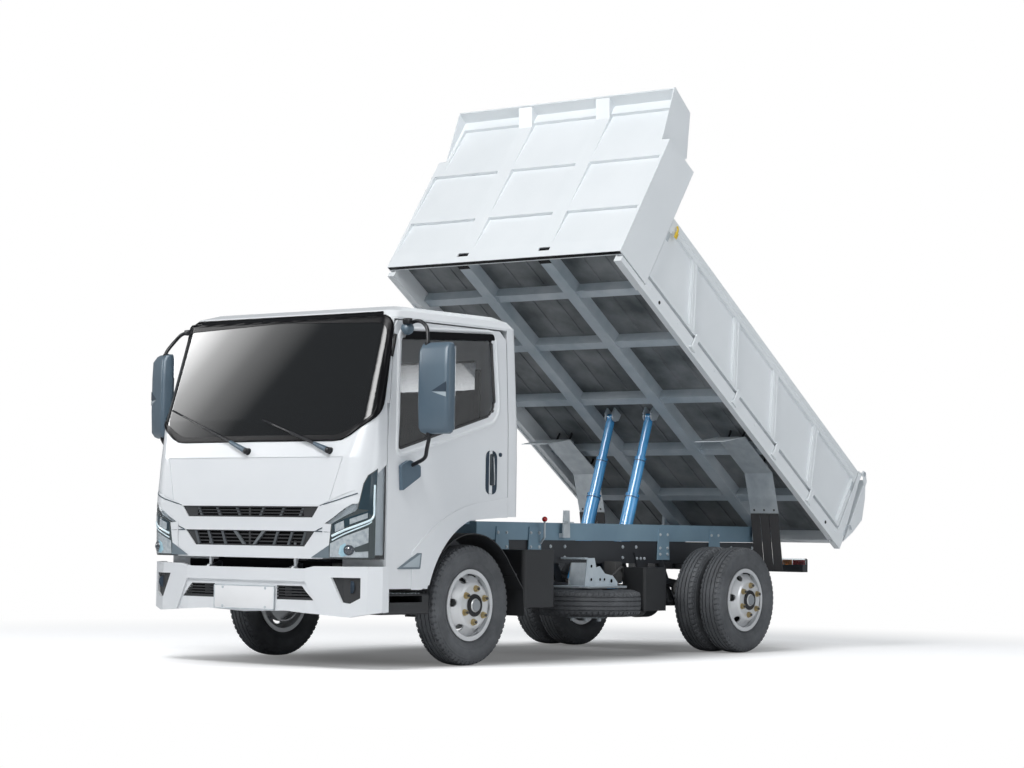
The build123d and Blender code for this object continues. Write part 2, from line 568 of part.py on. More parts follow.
def door():
    """Left door: panel, window opening, handle recess with its grip, and hinge pockets."""
    slab = (CAB_HALF - 150, CAB_HALF + 40)
    panel = skin(door_zone(0), 0, CAB_WALL)
    window = fillet(side_poly(WINDOW, slab).edges().filter_by(Axis.X), 26)
    glass = skin(window, 9, 14)
    flare = Wire([ThreePointArc((-600, 700), (-310, 905), (-20, 1004)), Line((-20, 1004), (330, 1052)),
                  Line((330, 1052), (330, 800)), Line((330, 800), (-600, 440)), Line((-600, 440), (-600, 700))])
    band = Pos(slab[0], 0, 0) * extrude(Plane.YZ * make_face(flare), amount=190, dir=(1, 0, 0))
    panel += skin(band & door_zone(0), -5, 1)
    panel -= window
    pocket = fillet(box((CAB_HALF - 22, CAB_HALF + 9), (92, 196), (1068, 1336)).edges().filter_by(Axis.X), 30)
    panel = panel - pocket + box((CAB_HALF - 14, CAB_HALF + 4), (122, 150), (1060, 1345))
    panel -= box((CAB_HALF + 4, CAB_HALF + 9), (0, 300), (1000, 1400))
    x, y = DOOR_PIN
    panel -= box((CAB_HALF, CAB_HALF + 20), (y - 20, y - 12.9), (100, 2200))
    for z in (720, 1200):
        panel -= box((840, x + 8.5), (y - 20, y + 17), (z, z + 60))
        panel -= rod((x, y, z - 15), (x, y, z + 75), 5 + FIT)
    return panel, glass


def door_hinges():
    """Cab's half of the door hinges: pins on brackets behind the front pillar."""
    x, y = DOOR_PIN
    parts = []
    for z in (720, 1200):
        hinge = rod((x, y, z - 14), (x, y, z + 74), 5) + rod((x, y, z + 5), (x, y, z + 55), 7.5)
        hinge += box((848, x), (y - 6, y + 6), (z + 5, z + 55)) + box((848, 860), (y - 45, y + 6), (z + 5, z + 55))
        parts.append(hinge)
    return parts


def cab():
    """Cab shell split into its panels, with doors, glass, grilles and headlamps."""
    shell = cab_form(0) - cab_form(CAB_WALL)
    left, glass = door()
    save("door_left", left)
    save("door_right", mirrored(left))
    save("door_glass_left", glass)
    save("door_glass_right", mirrored(glass))
    opening = door_zone(GAP)
    x, y = DOOR_PIN
    relief = rod((x, y, EDGE_Z[0]), (x, y, EDGE_Z[1]), EDGE_SWEEP_R)
    body = shell - opening - mirrored(opening) - relief - mirrored(relief)
    screen = front_poly(two_sided(SCREEN), (-1300, -700))
    screen = fillet(screen.edges().filter_by(Axis.Y), 50) & side_poly(SCREEN_SIDE, (-1000, 1000))
    hole = fillet(front_poly(two_sided(SCREEN_HOLE), (-1300, -700)).edges().filter_by(Axis.Y), 45)
    rear_hole = box((-560, 560), (300, 500), (1480, 1930))
    save("cab_glass", skin(screen, 2, 8), skin(rear_hole, 10, 16))
    body = body - skin(screen, -1, 9) - hole - rear_hole
    front_zone = side_poly(FRONT_SIDE, (-1000, 1000))
    whole = (-1000, 1000)
    top = box(whole, (-1300, 600), (HEADER_Z, 2300))
    behind = box(whole, (PILLAR_Y, 600), (0, 2300))
    lamp = front_poly(LAMP_FRONT, (-1200, -700)) & side_poly(LAMP_SIDE, (500, 1000))
    front = body & front_zone
    for line in (((-735, 1262), (735, 1262)), ((735, 1262), (660, 1000)), ((580, 968), (833, 1063)),
                 ((-735, 1262), (-660, 1000)), ((-580, 968), (-833, 1063))):
        front -= skin(groove(*line), -1, 4)
    grilles = []
    slots = ((UPPER_GRILLE, (911, 929, 947), 11), (LOWER_GRILLE, (737, 758, 779, 800), 13))
    for outline, levels, height in slots:
        mouth = front_poly(two_sided(outline), (-1200, -1040))
        front -= mouth
        fill = skin(mouth, 9, 30)
        for z in levels:
            fill -= box((-450, -8), (-1200, -1000), (z, z + height)) + box((8, 450), (-1200, -1000), (z, z + height))
        grilles.append(fill)
    save("cab_grilles", grilles)
    lens = skin(lamp, 1, 26)
    socket = skin(lamp, -1, 27)
    front = front - socket - mirrored(socket)
    save("headlamps", both(lens))
    py, pz = CAB_PIVOT
    for s in (1, -1):
        ear = side_poly([(py + 5, pz), (py + 40, 700), (py + 40, 760), (py - 1, 760), (py - 1, 690)], (s * 350, s * 368))
        ear += rod((s * 350, py, pz), (s * 368, py, pz), 24)
        front += ear - rod((s * 340, py, pz), (s * 380, py, pz), CLEVIS_PIN_R + FIT)
    save("cab_front_panel", front, both(door_hinges()[0]), both(door_hinges()[1]))
    save("cab_roof", (body & top) - front_zone)
    save("cab_rear_wall", (body & behind) - top)
    save("cab_floor", (body & box((-852, 852), (PANEL_Y, PILLAR_Y), (0, 1200))) - front_zone)

WHEEL_X = -405.0                 # steering wheel, on the right
SEAT_XS = ((-680.0, -150.0), (-90.0, 680.0))


def cab_inside():
    """Dash, steering column and wheel, and the two seats on their bases."""
    dash = side_poly([(-1000, 1000), (-760, 1000), (-700, 1060), (-690, 1180), (-740, 1268), (-830, 1300), (-985, 1330)],
                     (-840, 840))
    hood = side_poly([(-860, 1290), (-735, 1262), (-705, 1300), (-730, 1345), (-860, 1345)], (-620, -190))
    dash = cab_form(CAB_WALL + 3) & (dash + fillet(hood.edges().filter_by(Axis.X), 12))
    tilt = Pos(WHEEL_X, -590, 1455) * Rot(-38, 0, 0)
    wheel = tilt * Torus(205, 14)
    wheel += tilt * Pos(0, 0, -12) * Cylinder(48, 34)
    for a in (90, 210, 330):
        wheel += tilt * Rot(0, 0, a) * box((40, 203), (-14, 14), (-12, 4))
    wheel += rod((WHEEL_X, -604, 1438), (WHEEL_X, -770, 1225), 24)
    cushions = []
    bases = []
    floor = TUNNEL_TOP + CAB_WALL
    for x0, x1 in SEAT_XS:
        pad = fillet(box((x0, x1), (-340, 150), (1015, 1130)).edges(), 35)
        back = fillet(box((x0, x1), (0, 105), (0, 640)).edges(), 35)
        cushions += [pad, Pos(0, 125, 1140) * Rot(-12, 0, 0) * back]
        middle = (x0 + x1) / 2
        head = fillet(box((middle - 120, middle + 120), (0, 75), (0, 150)).edges(), 25)
        cushions.append(Pos(0, 270, 1785) * Rot(-8, 0, 0) * head)
        base = box((x0 + 30, x1 - 30), (-300, 130), (954, 1014))
        bases.append(base + box((max(x0 + 30, -540), min(x1 - 30, 540)), (-300, -175), (floor + 1, 960)))
    save("seats", cushions)
    save("cab_interior", dash + wheel, bases)


def mirrors():
    """Rear-view mirrors on bent arms from the door's upper corner and lower front."""
    head = fillet(box((1050, 1286), (-748, -662), (1400, 1962)).edges(), 34)
    upper = bent_bar([(884, -724, 2040), (960, -722, 2078), (1060, -712, 2070), (1105, -705, 1955)], 11)
    base = fillet(box((899, 925), (-728, -535), (1100, 1275)).edges().filter_by(Axis.X), 22)
    lower = bent_bar([(915, -640, 1235), (1010, -680, 1245), (1110, -705, 1300), (1125, -705, 1405)], 11)
    pad = fillet(box((872, 912), (-748, -700), (2005, 2070)).edges().filter_by(Axis.X), 14)
    left = (head + upper + lower + base + pad) - cab_form(0)
    save("mirror_left", left)
    save("mirror_right", mirrored(left))


# ---------------------------------------------------------------- bed
FRONT_ROWS = ((104.0, 402.0), (420.0, 847.0), (866.0, 1290.0))      # low and high w of the headboard's panels
FRONT_COLUMNS = ((-1004.0, -405.0), (-286.0, 286.0), (405.0, 1004.0))
TOP_COLUMNS = ((-930.0, -405.0), (-286.0, 286.0), (405.0, 930.0))
CANOPY_HALF = 955.0
CANOPY_TIP = (-92.0, 1385.0)     # u, w of the canopy's front edge
HEAD_FULL_W = 1372.0
FLOOR_MEMBER_US = (440.0, 1000.0, 1650.0, 2280.0, 2860.0)
RIBS = ((971.0, 736.0), (1618.0, 1375.0), (2220.0, 1990.0), (2820.0, 2655.0))     # u at foot, u at top
KNOB_US = (1031.0, 1660.0, 2284.0, 2850.0)
SHEET = 5.0


def bed_floor():
    """Floor sheet with its sills, side rails and rear corner posts."""
    start = HEAD_T + 1
    floor = box((-FLOOR_HALF, FLOOR_HALF), (start, BED_LEN - 6), FLOOR_W)
    floor += box((-FLOOR_HALF, FLOOR_HALF), (start, start + 8), (12, FLOOR_W[0] + 1))
    floor += box((-FLOOR_HALF, FLOOR_HALF), (BED_LEN - 46, BED_LEN - 6), (0, FLOOR_W[0] + 1))
    for s in (1, -1):
        profile = [(968, 98), (984, 98), (984, 60), (1012, 60), (1012, 48), (BED_HALF, 48), (BED_HALF, -50),
                   (1012, -50), (1012, -38), (968, -38)]
        rail = front_poly([(s * x, w) for x, w in profile], (RETURN_U + 2, BED_LEN - 6))
        low = box((s * 968, s * BED_HALF), (start, RETURN_U + 3), (-50, -12)) + \
            box((s * 968, s * FLOOR_HALF), (start, RETURN_U + 3), (-40, FLOOR_W[0] + 1))
        post = side_poly([(3320, -50), (BED_LEN - 6, -50), (BED_LEN - 6, 24), (3352, 572), (3320, 572)],
                         (s * 980, s * BED_HALF))
        for u in (548, 3139):
            rail -= rod((s * 1000, u, -2), (s * 1100, u, -2), 13)
        pin_x, pin_w = SIDE_PIN
        for u in KNOB_US:
            rail += rod((s * pin_x, u - 36, pin_w), (s * pin_x, u + 36, pin_w), SIDE_PIN_R)
            for end in (u - 36, u + 26):
                rail += box((s * (BED_HALF - 3), s * (pin_x + 4)), (end, end + 10), (pin_w - 7, pin_w + 7))
        floor += rail + low + post
        u, w = GATE_PIN
        floor += rod((s * 990, u, w), (s * 1028, u, w), 12) + rod((s * 990, u, w), (s * 1044, u, w), GATE_PIN_R)
        floor += box((s * 990, s * 1014), (u - 40, u + 6), (w - 60, w))
    return floor


def bed_underframe():
    """Two long beams with the hinge ears, cross members with raised ends, and the cylinders' lugs."""
    parts = []
    low = FLOOR_W[0]
    for s in (1, -1):
        beam = box((s * BEAM_X[0], s * BEAM_X[1]), (HEAD_T + 10, BED_LEN - 47), (0, low))
        beam -= box((s * (BEAM_X[0] + 6), s * (BEAM_X[1] - 6)), (0, BED_LEN), (6, low - 6))
        ear = side_poly([(HINGE_U - 150, 60), (HINGE_U + 110, 60), (HINGE_U + 48, HINGE_W - 20), (HINGE_U, HINGE_W - 48),
                         (HINGE_U - 48, HINGE_W - 20)], (s * BEAM_X[1], s * (BEAM_X[1] + 22)))
        ear -= rod((0, HINGE_U, HINGE_W), (s * 600, HINGE_U, HINGE_W), HINGE_PIN_R + FIT)
        parts.append(beam + ear)
    for u in FLOOR_MEMBER_US:
        channel = [(u - 35, 16), (u + 35, 16), (u + 35, low), (u + 29, low), (u + 29, 22), (u - 29, 22), (u - 29, low),
                   (u - 35, low)]
        parts.append(side_poly(channel, (-BEAM_X[0], BEAM_X[0])))
        for s in (1, -1):
            x0, x1 = sorted((s * BEAM_X[1], s * 966))
            parts.append(side_poly(channel, (x0, x1)))
    u, w = CYL_TOP_UW
    for s in (1, -1):
        for x in (s * CYL_X - 39, s * CYL_X + 27):
            lug = box((x, x + 12), (u - 45, u + 45), (w, low)) + rod((x, u, w), (x + 12, u, w), 30)
            parts.append(lug)
    return parts


def headboard():
    """Pressed front wall with three rows of sloped panels, side returns and the canopy over the cab."""
    wall = box((-BED_HALF, BED_HALF), (0, HEAD_T), (0, RETURN_TOP))
    wall += box((-CANOPY_HALF, CANOPY_HALF), (0, HEAD_T), (RETURN_TOP - 1, HEAD_FULL_W))
    for low, high in FRONT_ROWS:
        columns = FRONT_COLUMNS if high < RETURN_TOP else TOP_COLUMNS
        for x in columns:
            wall -= side_poly([(-1, low), (26, high), (-1, high)], x)
    for s in (1, -1):
        wall -= box((s * BEAM_X[0], s * BEAM_X[1]), (-1, 12), (52, 82))
        wall += box((s * 986, s * BED_HALF), (HEAD_T - 1, RETURN_U), (0, RETURN_TOP))
        wall -= box((s * 986, s * (BED_HALF - 6)), (HEAD_T, RETURN_U - 8), (110, RETURN_TOP - 60))
        plate = [(0, 990), CANOPY_TIP, (CANOPY_TIP[0] + 6, CANOPY_TIP[1] + 8), (150, 1368), (300, 1080), (240, 990)]
        wall += side_poly(plate, (s * CANOPY_HALF, s * (CANOPY_HALF + 6)))
        rib = [(1, 1250), (CANOPY_TIP[0] + 8, CANOPY_TIP[1] - 14), (1, HEAD_FULL_W - 4)]
        wall += side_poly(rib, (s * 286, s * 405))
    tip_u, tip_w = CANOPY_TIP
    canopy = [(1, HEAD_FULL_W - 6), (tip_u, tip_w - 12), (tip_u, tip_w), (1, HEAD_FULL_W), (HEAD_T, HEAD_FULL_W),
              (HEAD_T, HEAD_FULL_W - 6)]
    wall += side_poly(canopy, (-CANOPY_HALF, CANOPY_HALF))
    return wall


def side_board():
    """Left drop side: sheet, hollow frame rails, end posts and slanted ribs, on hinge straps."""
    x0, x1 = 992.0, 1022.0
    low, high = SIDE_W
    board = box((x0, x0 + SHEET), SIDE_U, SIDE_W)
    board += box((x0, x1), SIDE_U, (500, high)) + box((x0, x1), SIDE_U, (low, low + 22))
    for u in SIDE_U:
        inward = math.copysign(34, 2000 - u)
        board += box((x0, x1), (u, u + inward), SIDE_W)
    for foot, top in RIBS:
        board += side_poly([(foot - 38, low + 20), (foot + 38, low + 20), (top + 38, 502), (top - 38, 502)], (x0, x1 - 4))
    pin_x, pin_w = SIDE_PIN
    for u in KNOB_US:
        strap = box((x1 - 1, pin_x + 6), (u - 22, u + 22), (low, low + 10))
        strap += box((pin_x - 5, pin_x + 6), (u - 22, u + 22), (pin_w, low + 9))
        strap += rod((pin_x, u - 22, pin_w), (pin_x, u + 22, pin_w), SIDE_PIN_R + 3)
        board += strap - rod((pin_x, u - 40, pin_w), (pin_x, u + 40, pin_w), SIDE_PIN_R + FIT)
    return board


def tailgate():
    """Hollow tailgate with a deep bulged back, inner ribs, drain holes and its hinge arms."""
    gate = side_poly(GATE_OUTLINE, (-BED_HALF, BED_HALF))
    gate -= side_poly(GATE_HOLLOW, (-BED_HALF + 40, BED_HALF - 40))
    gate += box((-BED_HALF + 40, BED_HALF - 40), (3428, 3433), (24, 586))
    for x in (-620, -210, 210, 620):
        gate += side_poly(GATE_OUTLINE, (x - 4, x + 4))
    for x in (-800, -415, 0, 415, 800):
        gate -= rod((x, 3450, 40), (x, 3450, 130), 8)
    u, w = GATE_PIN
    for s in (1, -1):
        arm = side_poly([(u - 20, w - 16), (u + 6, w - 22), (3436, 530), (3432, 576), (u + 10, w + 22), (u - 20, w + 16)],
                        (s * 1030, s * 1040))
        arm += box((s * 1000, s * 1040), (3429, 3436), (540, 572))
        gate += arm - rod((0, u, w), (s * 1100, u, w), GATE_PIN_R + FIT)
    return gate


def rear_guards():
    """Bed-mounted rear mudguards: folded plates on brackets with rubber flaps."""
    guards, flaps = [], []
    top = [(1850, -205), (2060, -12), (2500, -12), (2735, -205)]
    for s in (1, -1):
        under = [(u + 3, w - 4) for u, w in reversed(top)]
        plate = side_poly([*top, *under], (s * 665, s * 905))
        for u in (2120, 2440):
            plate += box((s * 690, s * 880), (u - 20, u + 20), (-13, 16))
        guards.append(plate)
        for k in range(3):
            x = 668 + 80 * k
            strip = side_poly([(2730, -212), (2736, -208), (3028, -508), (3022, -512)], (s * x, s * (x + 74)))
            flaps.append(strip)
    return guards, flaps


def bed_parts():
    """Everything on the tipping bed."""
    save("bed_floor", bed(bed_floor()))
    save("bed_underframe", [bed(p) for p in bed_underframe()])
    save("headboard", bed(headboard()))
    board = side_board()
    save("side_board_left", bed(board))
    save("side_board_right", bed(mirrored(board)))
    save("tailgate", bed(tailgate()))
    guards, flaps = rear_guards()
    save("rear_mudguards", [bed(g) for g in guards])
    save("rear_flaps", [bed(f) for f in flaps])


# ---------------------------------------------------------------- lift cylinders
def cylinders():
    """Twin telescopic cylinders, drawn along Z from their lower pins and then leaned to the bed."""
    top_y, top_z = tipped(*CYL_TOP_UW)
    dy, dz = top_y - CYL_BOTTOM[0], top_z - CYL_BOTTOM[1]
    reach = math.hypot(dy, dz)
    lean = math.degrees(math.atan2(dy, dz))
    step = (reach - 80 - STAGE_L) / 3
    names = ("cylinder_barrels", "cylinder_stage_1", "cylinder_stage_2", "cylinder_rods")
    for k in range(4):
        pair = []
        for s in (1, -1):
            z0 = 40 + k * step
            body = Pos(0, 0, z0 + STAGE_L / 2) * Cylinder(STAGE_R[k], STAGE_L)
            if k < 3:
                body -= Pos(0, 0, z0 + STAGE_L / 2 + 5) * Cylinder(STAGE_R[k + 1] + FIT, STAGE_L)
                ring = Cylinder(STAGE_R[k] + 4, RING_H) - Cylinder(STAGE_R[k] - 2, 30)
                body += Pos(0, 0, z0 + STAGE_L - RING_H / 2) * ring
            if k == 0:
                body += Rot(0, 90, 0) * Cylinder(34, 56) + box((-28, 28), (-24, 24), (0, 45))
                body -= Rot(0, 90, 0) * Cylinder(CYL_PIN_R + FIT, 200)
            if k == 3:
                body += Pos(0, 0, reach) * Rot(0, 90, 0) * Cylinder(EYE_R, 40)
                body += box((-20, 20), (-20, 20), (z0 + STAGE_L - 1, reach))
                body -= Pos(0, 0, reach) * Rot(0, 90, 0) * Cylinder(CLEVIS_PIN_R, 60)
            place = Pos(s * CYL_X, CYL_BOTTOM[0], CYL_BOTTOM[1]) * Rot(-lean, 0, 0)
            pair.append(place * body)
        save(names[k], pair)


def main():
    os.makedirs("parts", exist_ok=True)
    wheels()
    front_axle()
    rear_axle()
    springs()
    rails()
    subframe()
    hung_parts()
    rear_lamps()
    front_bumper()
    steps_and_guards()
    cab()
    cab_inside()
    mirrors()
    bed_parts()
    cylinders()


main()
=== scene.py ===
"""Finish, details and studio for the light dump truck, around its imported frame. Metres."""
import json
import math

import bmesh
import bpy
from mathutils import Matrix, Vector
from mathutils.bvhtree import BVHTree


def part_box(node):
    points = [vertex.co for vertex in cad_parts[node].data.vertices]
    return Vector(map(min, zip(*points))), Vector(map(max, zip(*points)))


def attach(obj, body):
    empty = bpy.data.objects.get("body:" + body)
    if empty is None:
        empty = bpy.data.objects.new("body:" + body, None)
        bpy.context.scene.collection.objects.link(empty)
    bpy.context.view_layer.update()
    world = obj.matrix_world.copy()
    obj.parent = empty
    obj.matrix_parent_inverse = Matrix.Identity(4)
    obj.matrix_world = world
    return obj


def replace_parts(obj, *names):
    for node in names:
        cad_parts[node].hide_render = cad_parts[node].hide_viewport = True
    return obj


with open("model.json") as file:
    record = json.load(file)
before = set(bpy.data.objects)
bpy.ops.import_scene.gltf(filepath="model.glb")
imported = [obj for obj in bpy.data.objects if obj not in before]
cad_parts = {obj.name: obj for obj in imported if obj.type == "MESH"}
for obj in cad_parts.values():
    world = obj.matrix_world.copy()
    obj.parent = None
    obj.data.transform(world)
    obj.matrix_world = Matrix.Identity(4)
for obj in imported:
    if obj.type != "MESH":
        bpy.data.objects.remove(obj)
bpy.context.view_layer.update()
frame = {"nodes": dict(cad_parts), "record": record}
NODES = frame["nodes"]

# ---------------------------------------------------------------- places, from the frame
AXLE_LOW, AXLE_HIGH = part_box("tyre_front_left")
AXLE_Y = (AXLE_LOW.y + AXLE_HIGH.y) / 2          # the front axle, y = 0 of the truck's own drawing
WHEELBASE = 3.03
AXLE_Z = 0.375
FRONT_X = 0.794                  # middle plane of a front tyre
REAR_XS = (0.836, 0.620)         # middle planes of the rear twins
TIP = math.radians(34.1)
HINGE = Vector((0, AXLE_Y + 3.926, 0.81))
HINGE_U, HINGE_W = 3.227, -0.1
# The rear window's dark top is painted shade tinted into the glass.
REAR_SHADE_BAND = (1.72, 2.0)          # heights between which the rear window's glass turns dark


def at(x, y, z):
    """Point in the shared frame from x, distance behind the front axle, and height."""
    return Vector((x, AXLE_Y + y, z))


# ---------------------------------------------------------------- materials
class Nodes:
    """Small helper around one material's node tree."""

    def __init__(self, name):
        self.mat = bpy.data.materials.new(name)
        self.mat.use_nodes = True
        self.tree = self.mat.node_tree
        self.tree.nodes.clear()
        self.out = self.add("OutputMaterial")
        self.shader = self.add("BsdfPrincipled")
        self.link(self.shader, self.out.inputs["Surface"])

    def add(self, kind, **values):
        node = self.tree.nodes.new("ShaderNode" + kind)
        for key, value in values.items():
            setattr(node, key, value)
        return node

    def link(self, source, target):
        """Links an output, or a node's first one, to an input."""
        self.tree.links.new(getattr(source, "outputs", [source])[0], target)

    def set(self, **values):
        """Sets the shader's inputs; an underscore in a name stands for a space."""
        for key, value in values.items():
            self.shader.inputs[key.replace("_", " ")].default_value = value

    def math(self, kind, *values):
        """Result of a calculation on outputs and numbers."""
        node = self.add("Math", operation=kind)
        for socket, value in zip(node.inputs, values):
            if isinstance(value, (int, float)):
                socket.default_value = value
            else:
                self.link(value, socket)
        return node.outputs[0]

    def coords(self):
        return self.add("TexCoord").outputs["Object"]

    def noise(self, scale, detail=4.0, rough=0.55):
        """Object-space noise."""
        node = self.add("TexNoise")
        node.inputs["Scale"].default_value = scale
        node.inputs["Detail"].default_value = detail
        node.inputs["Roughness"].default_value = rough
        self.link(self.coords(), node.inputs["Vector"])
        return node.outputs["Fac"]

    def ramp(self, source, stops):
        """Colour ramp over a value; stops are (place, colour)."""
        node = self.add("ValToRGB")
        ramp = node.color_ramp
        while len(ramp.elements) < len(stops):
            ramp.elements.new(0.5)
        for element, (place, colour) in zip(ramp.elements, stops):
            element.position = place
            element.color = (*colour, 1)
        self.link(source, node.inputs["Fac"])
        return node.outputs["Color"]

    def spread(self, source, low, high, span=(0.0, 1.0), kind="LINEAR"):
        """Maps a value from a span to low to high."""
        node = self.add("MapRange", interpolation_type=kind)
        for key, value in (("From Min", span[0]), ("From Max", span[1]), ("To Min", low), ("To Max", high)):
            node.inputs[key].default_value = value
        self.link(source, node.inputs["Value"])
        return node.outputs["Result"]

    def combine(self, kind, *shaders):
        """Adds or mixes two shaders."""
        node = self.add(kind)
        for shader, socket in zip(shaders, list(node.inputs)[-2:]):
            self.link(shader, socket)
        return node

    def bump(self, source, strength, distance=0.001):
        node = self.add("Bump")
        node.inputs["Strength"].default_value = strength
        node.inputs["Distance"].default_value = distance
        self.link(source, node.inputs["Height"])
        self.link(node.outputs["Normal"], self.shader.inputs["Normal"])


def surface(name, colour, shade, rough, metal=0.0, grain=300.0, bump=0.0, coat=0.0, blotch=1.6,
            rough_spread=0.06, gloss=0.5):
    """Finish with two scales of colour variation, uneven gloss and a fine grain."""
    m = Nodes(name)
    m.link(m.ramp(m.noise(blotch, 5.0), ((0.3, shade), (0.7, colour))), m.shader.inputs["Base Color"])
    fine = m.noise(grain, 3.0)
    m.link(m.spread(fine, rough - rough_spread, rough + rough_spread), m.shader.inputs["Roughness"])
    m.set(Metallic=metal, Specular_IOR_Level=gloss, Coat_Weight=coat, Coat_Roughness=0.08)
    if bump:
        m.bump(fine, bump)
    return m.mat


def rubber(name, colour, dust):
    """Tyre rubber with a light film of dust."""
    m = Nodes(name)
    m.link(m.ramp(m.noise(5.0, 6.0, 0.65), ((0.35, colour), (0.75, dust))), m.shader.inputs["Base Color"])
    fine = m.noise(240.0, 2.0)
    m.link(m.spread(fine, 0.62, 0.8), m.shader.inputs["Roughness"])
    m.bump(fine, 0.25, 0.0006)
    return m.mat


def glazing(name, colour, see_through):
    """Tinted glass: mostly clear, with a coloured gloss."""
    m = Nodes(name)
    m.set(Base_Color=(*colour, 1), Transmission_Weight=see_through, IOR=1.5, Specular_IOR_Level=0.25)
    m.link(m.spread(m.noise(3.0, 3.0), 0.02, 0.05), m.shader.inputs["Roughness"])
    return m.mat


def screen_glass():
    """Cab glass: nearly black and glossy in front, painted shade standing for the dark cab behind it; in the
    rear window clear towards its lower edge, with painted shade darkening its top.
    """
    m = Nodes("windscreen_glass")
    split = m.add("SeparateXYZ")
    m.link(m.coords(), split.inputs[0])
    behind = m.math("GREATER_THAN", split.outputs["Y"], AXLE_Y)
    # painted shade: black in front, and dark towards the rear window's top
    clear = m.math("MULTIPLY", behind, m.spread(split.outputs["Z"], 1.0, 0.0, REAR_SHADE_BAND))
    tint = m.ramp(clear, ((0.0, (0.004, 0.005, 0.006)), (1.0, (0.95, 0.96, 0.97))))
    m.link(tint, m.shader.inputs["Base Color"])
    m.link(m.spread(behind, 0.35, 1.0), m.shader.inputs["Transmission Weight"])
    m.set(Coat_Weight=1.0, Coat_IOR=1.5, Specular_IOR_Level=0.0)
    m.link(m.spread(m.noise(3.0, 3.0), 0.02, 0.05), m.shader.inputs["Roughness"])
    return m.mat


def glow(name, colour, strength):
    """Pale light guide of a lamp."""
    m = Nodes(name)
    m.set(Base_Color=(*colour, 1), Emission_Color=(*colour, 1), Emission_Strength=strength)
    m.link(m.spread(m.noise(120.0), 0.2, 0.3), m.shader.inputs["Roughness"])
    return m.mat


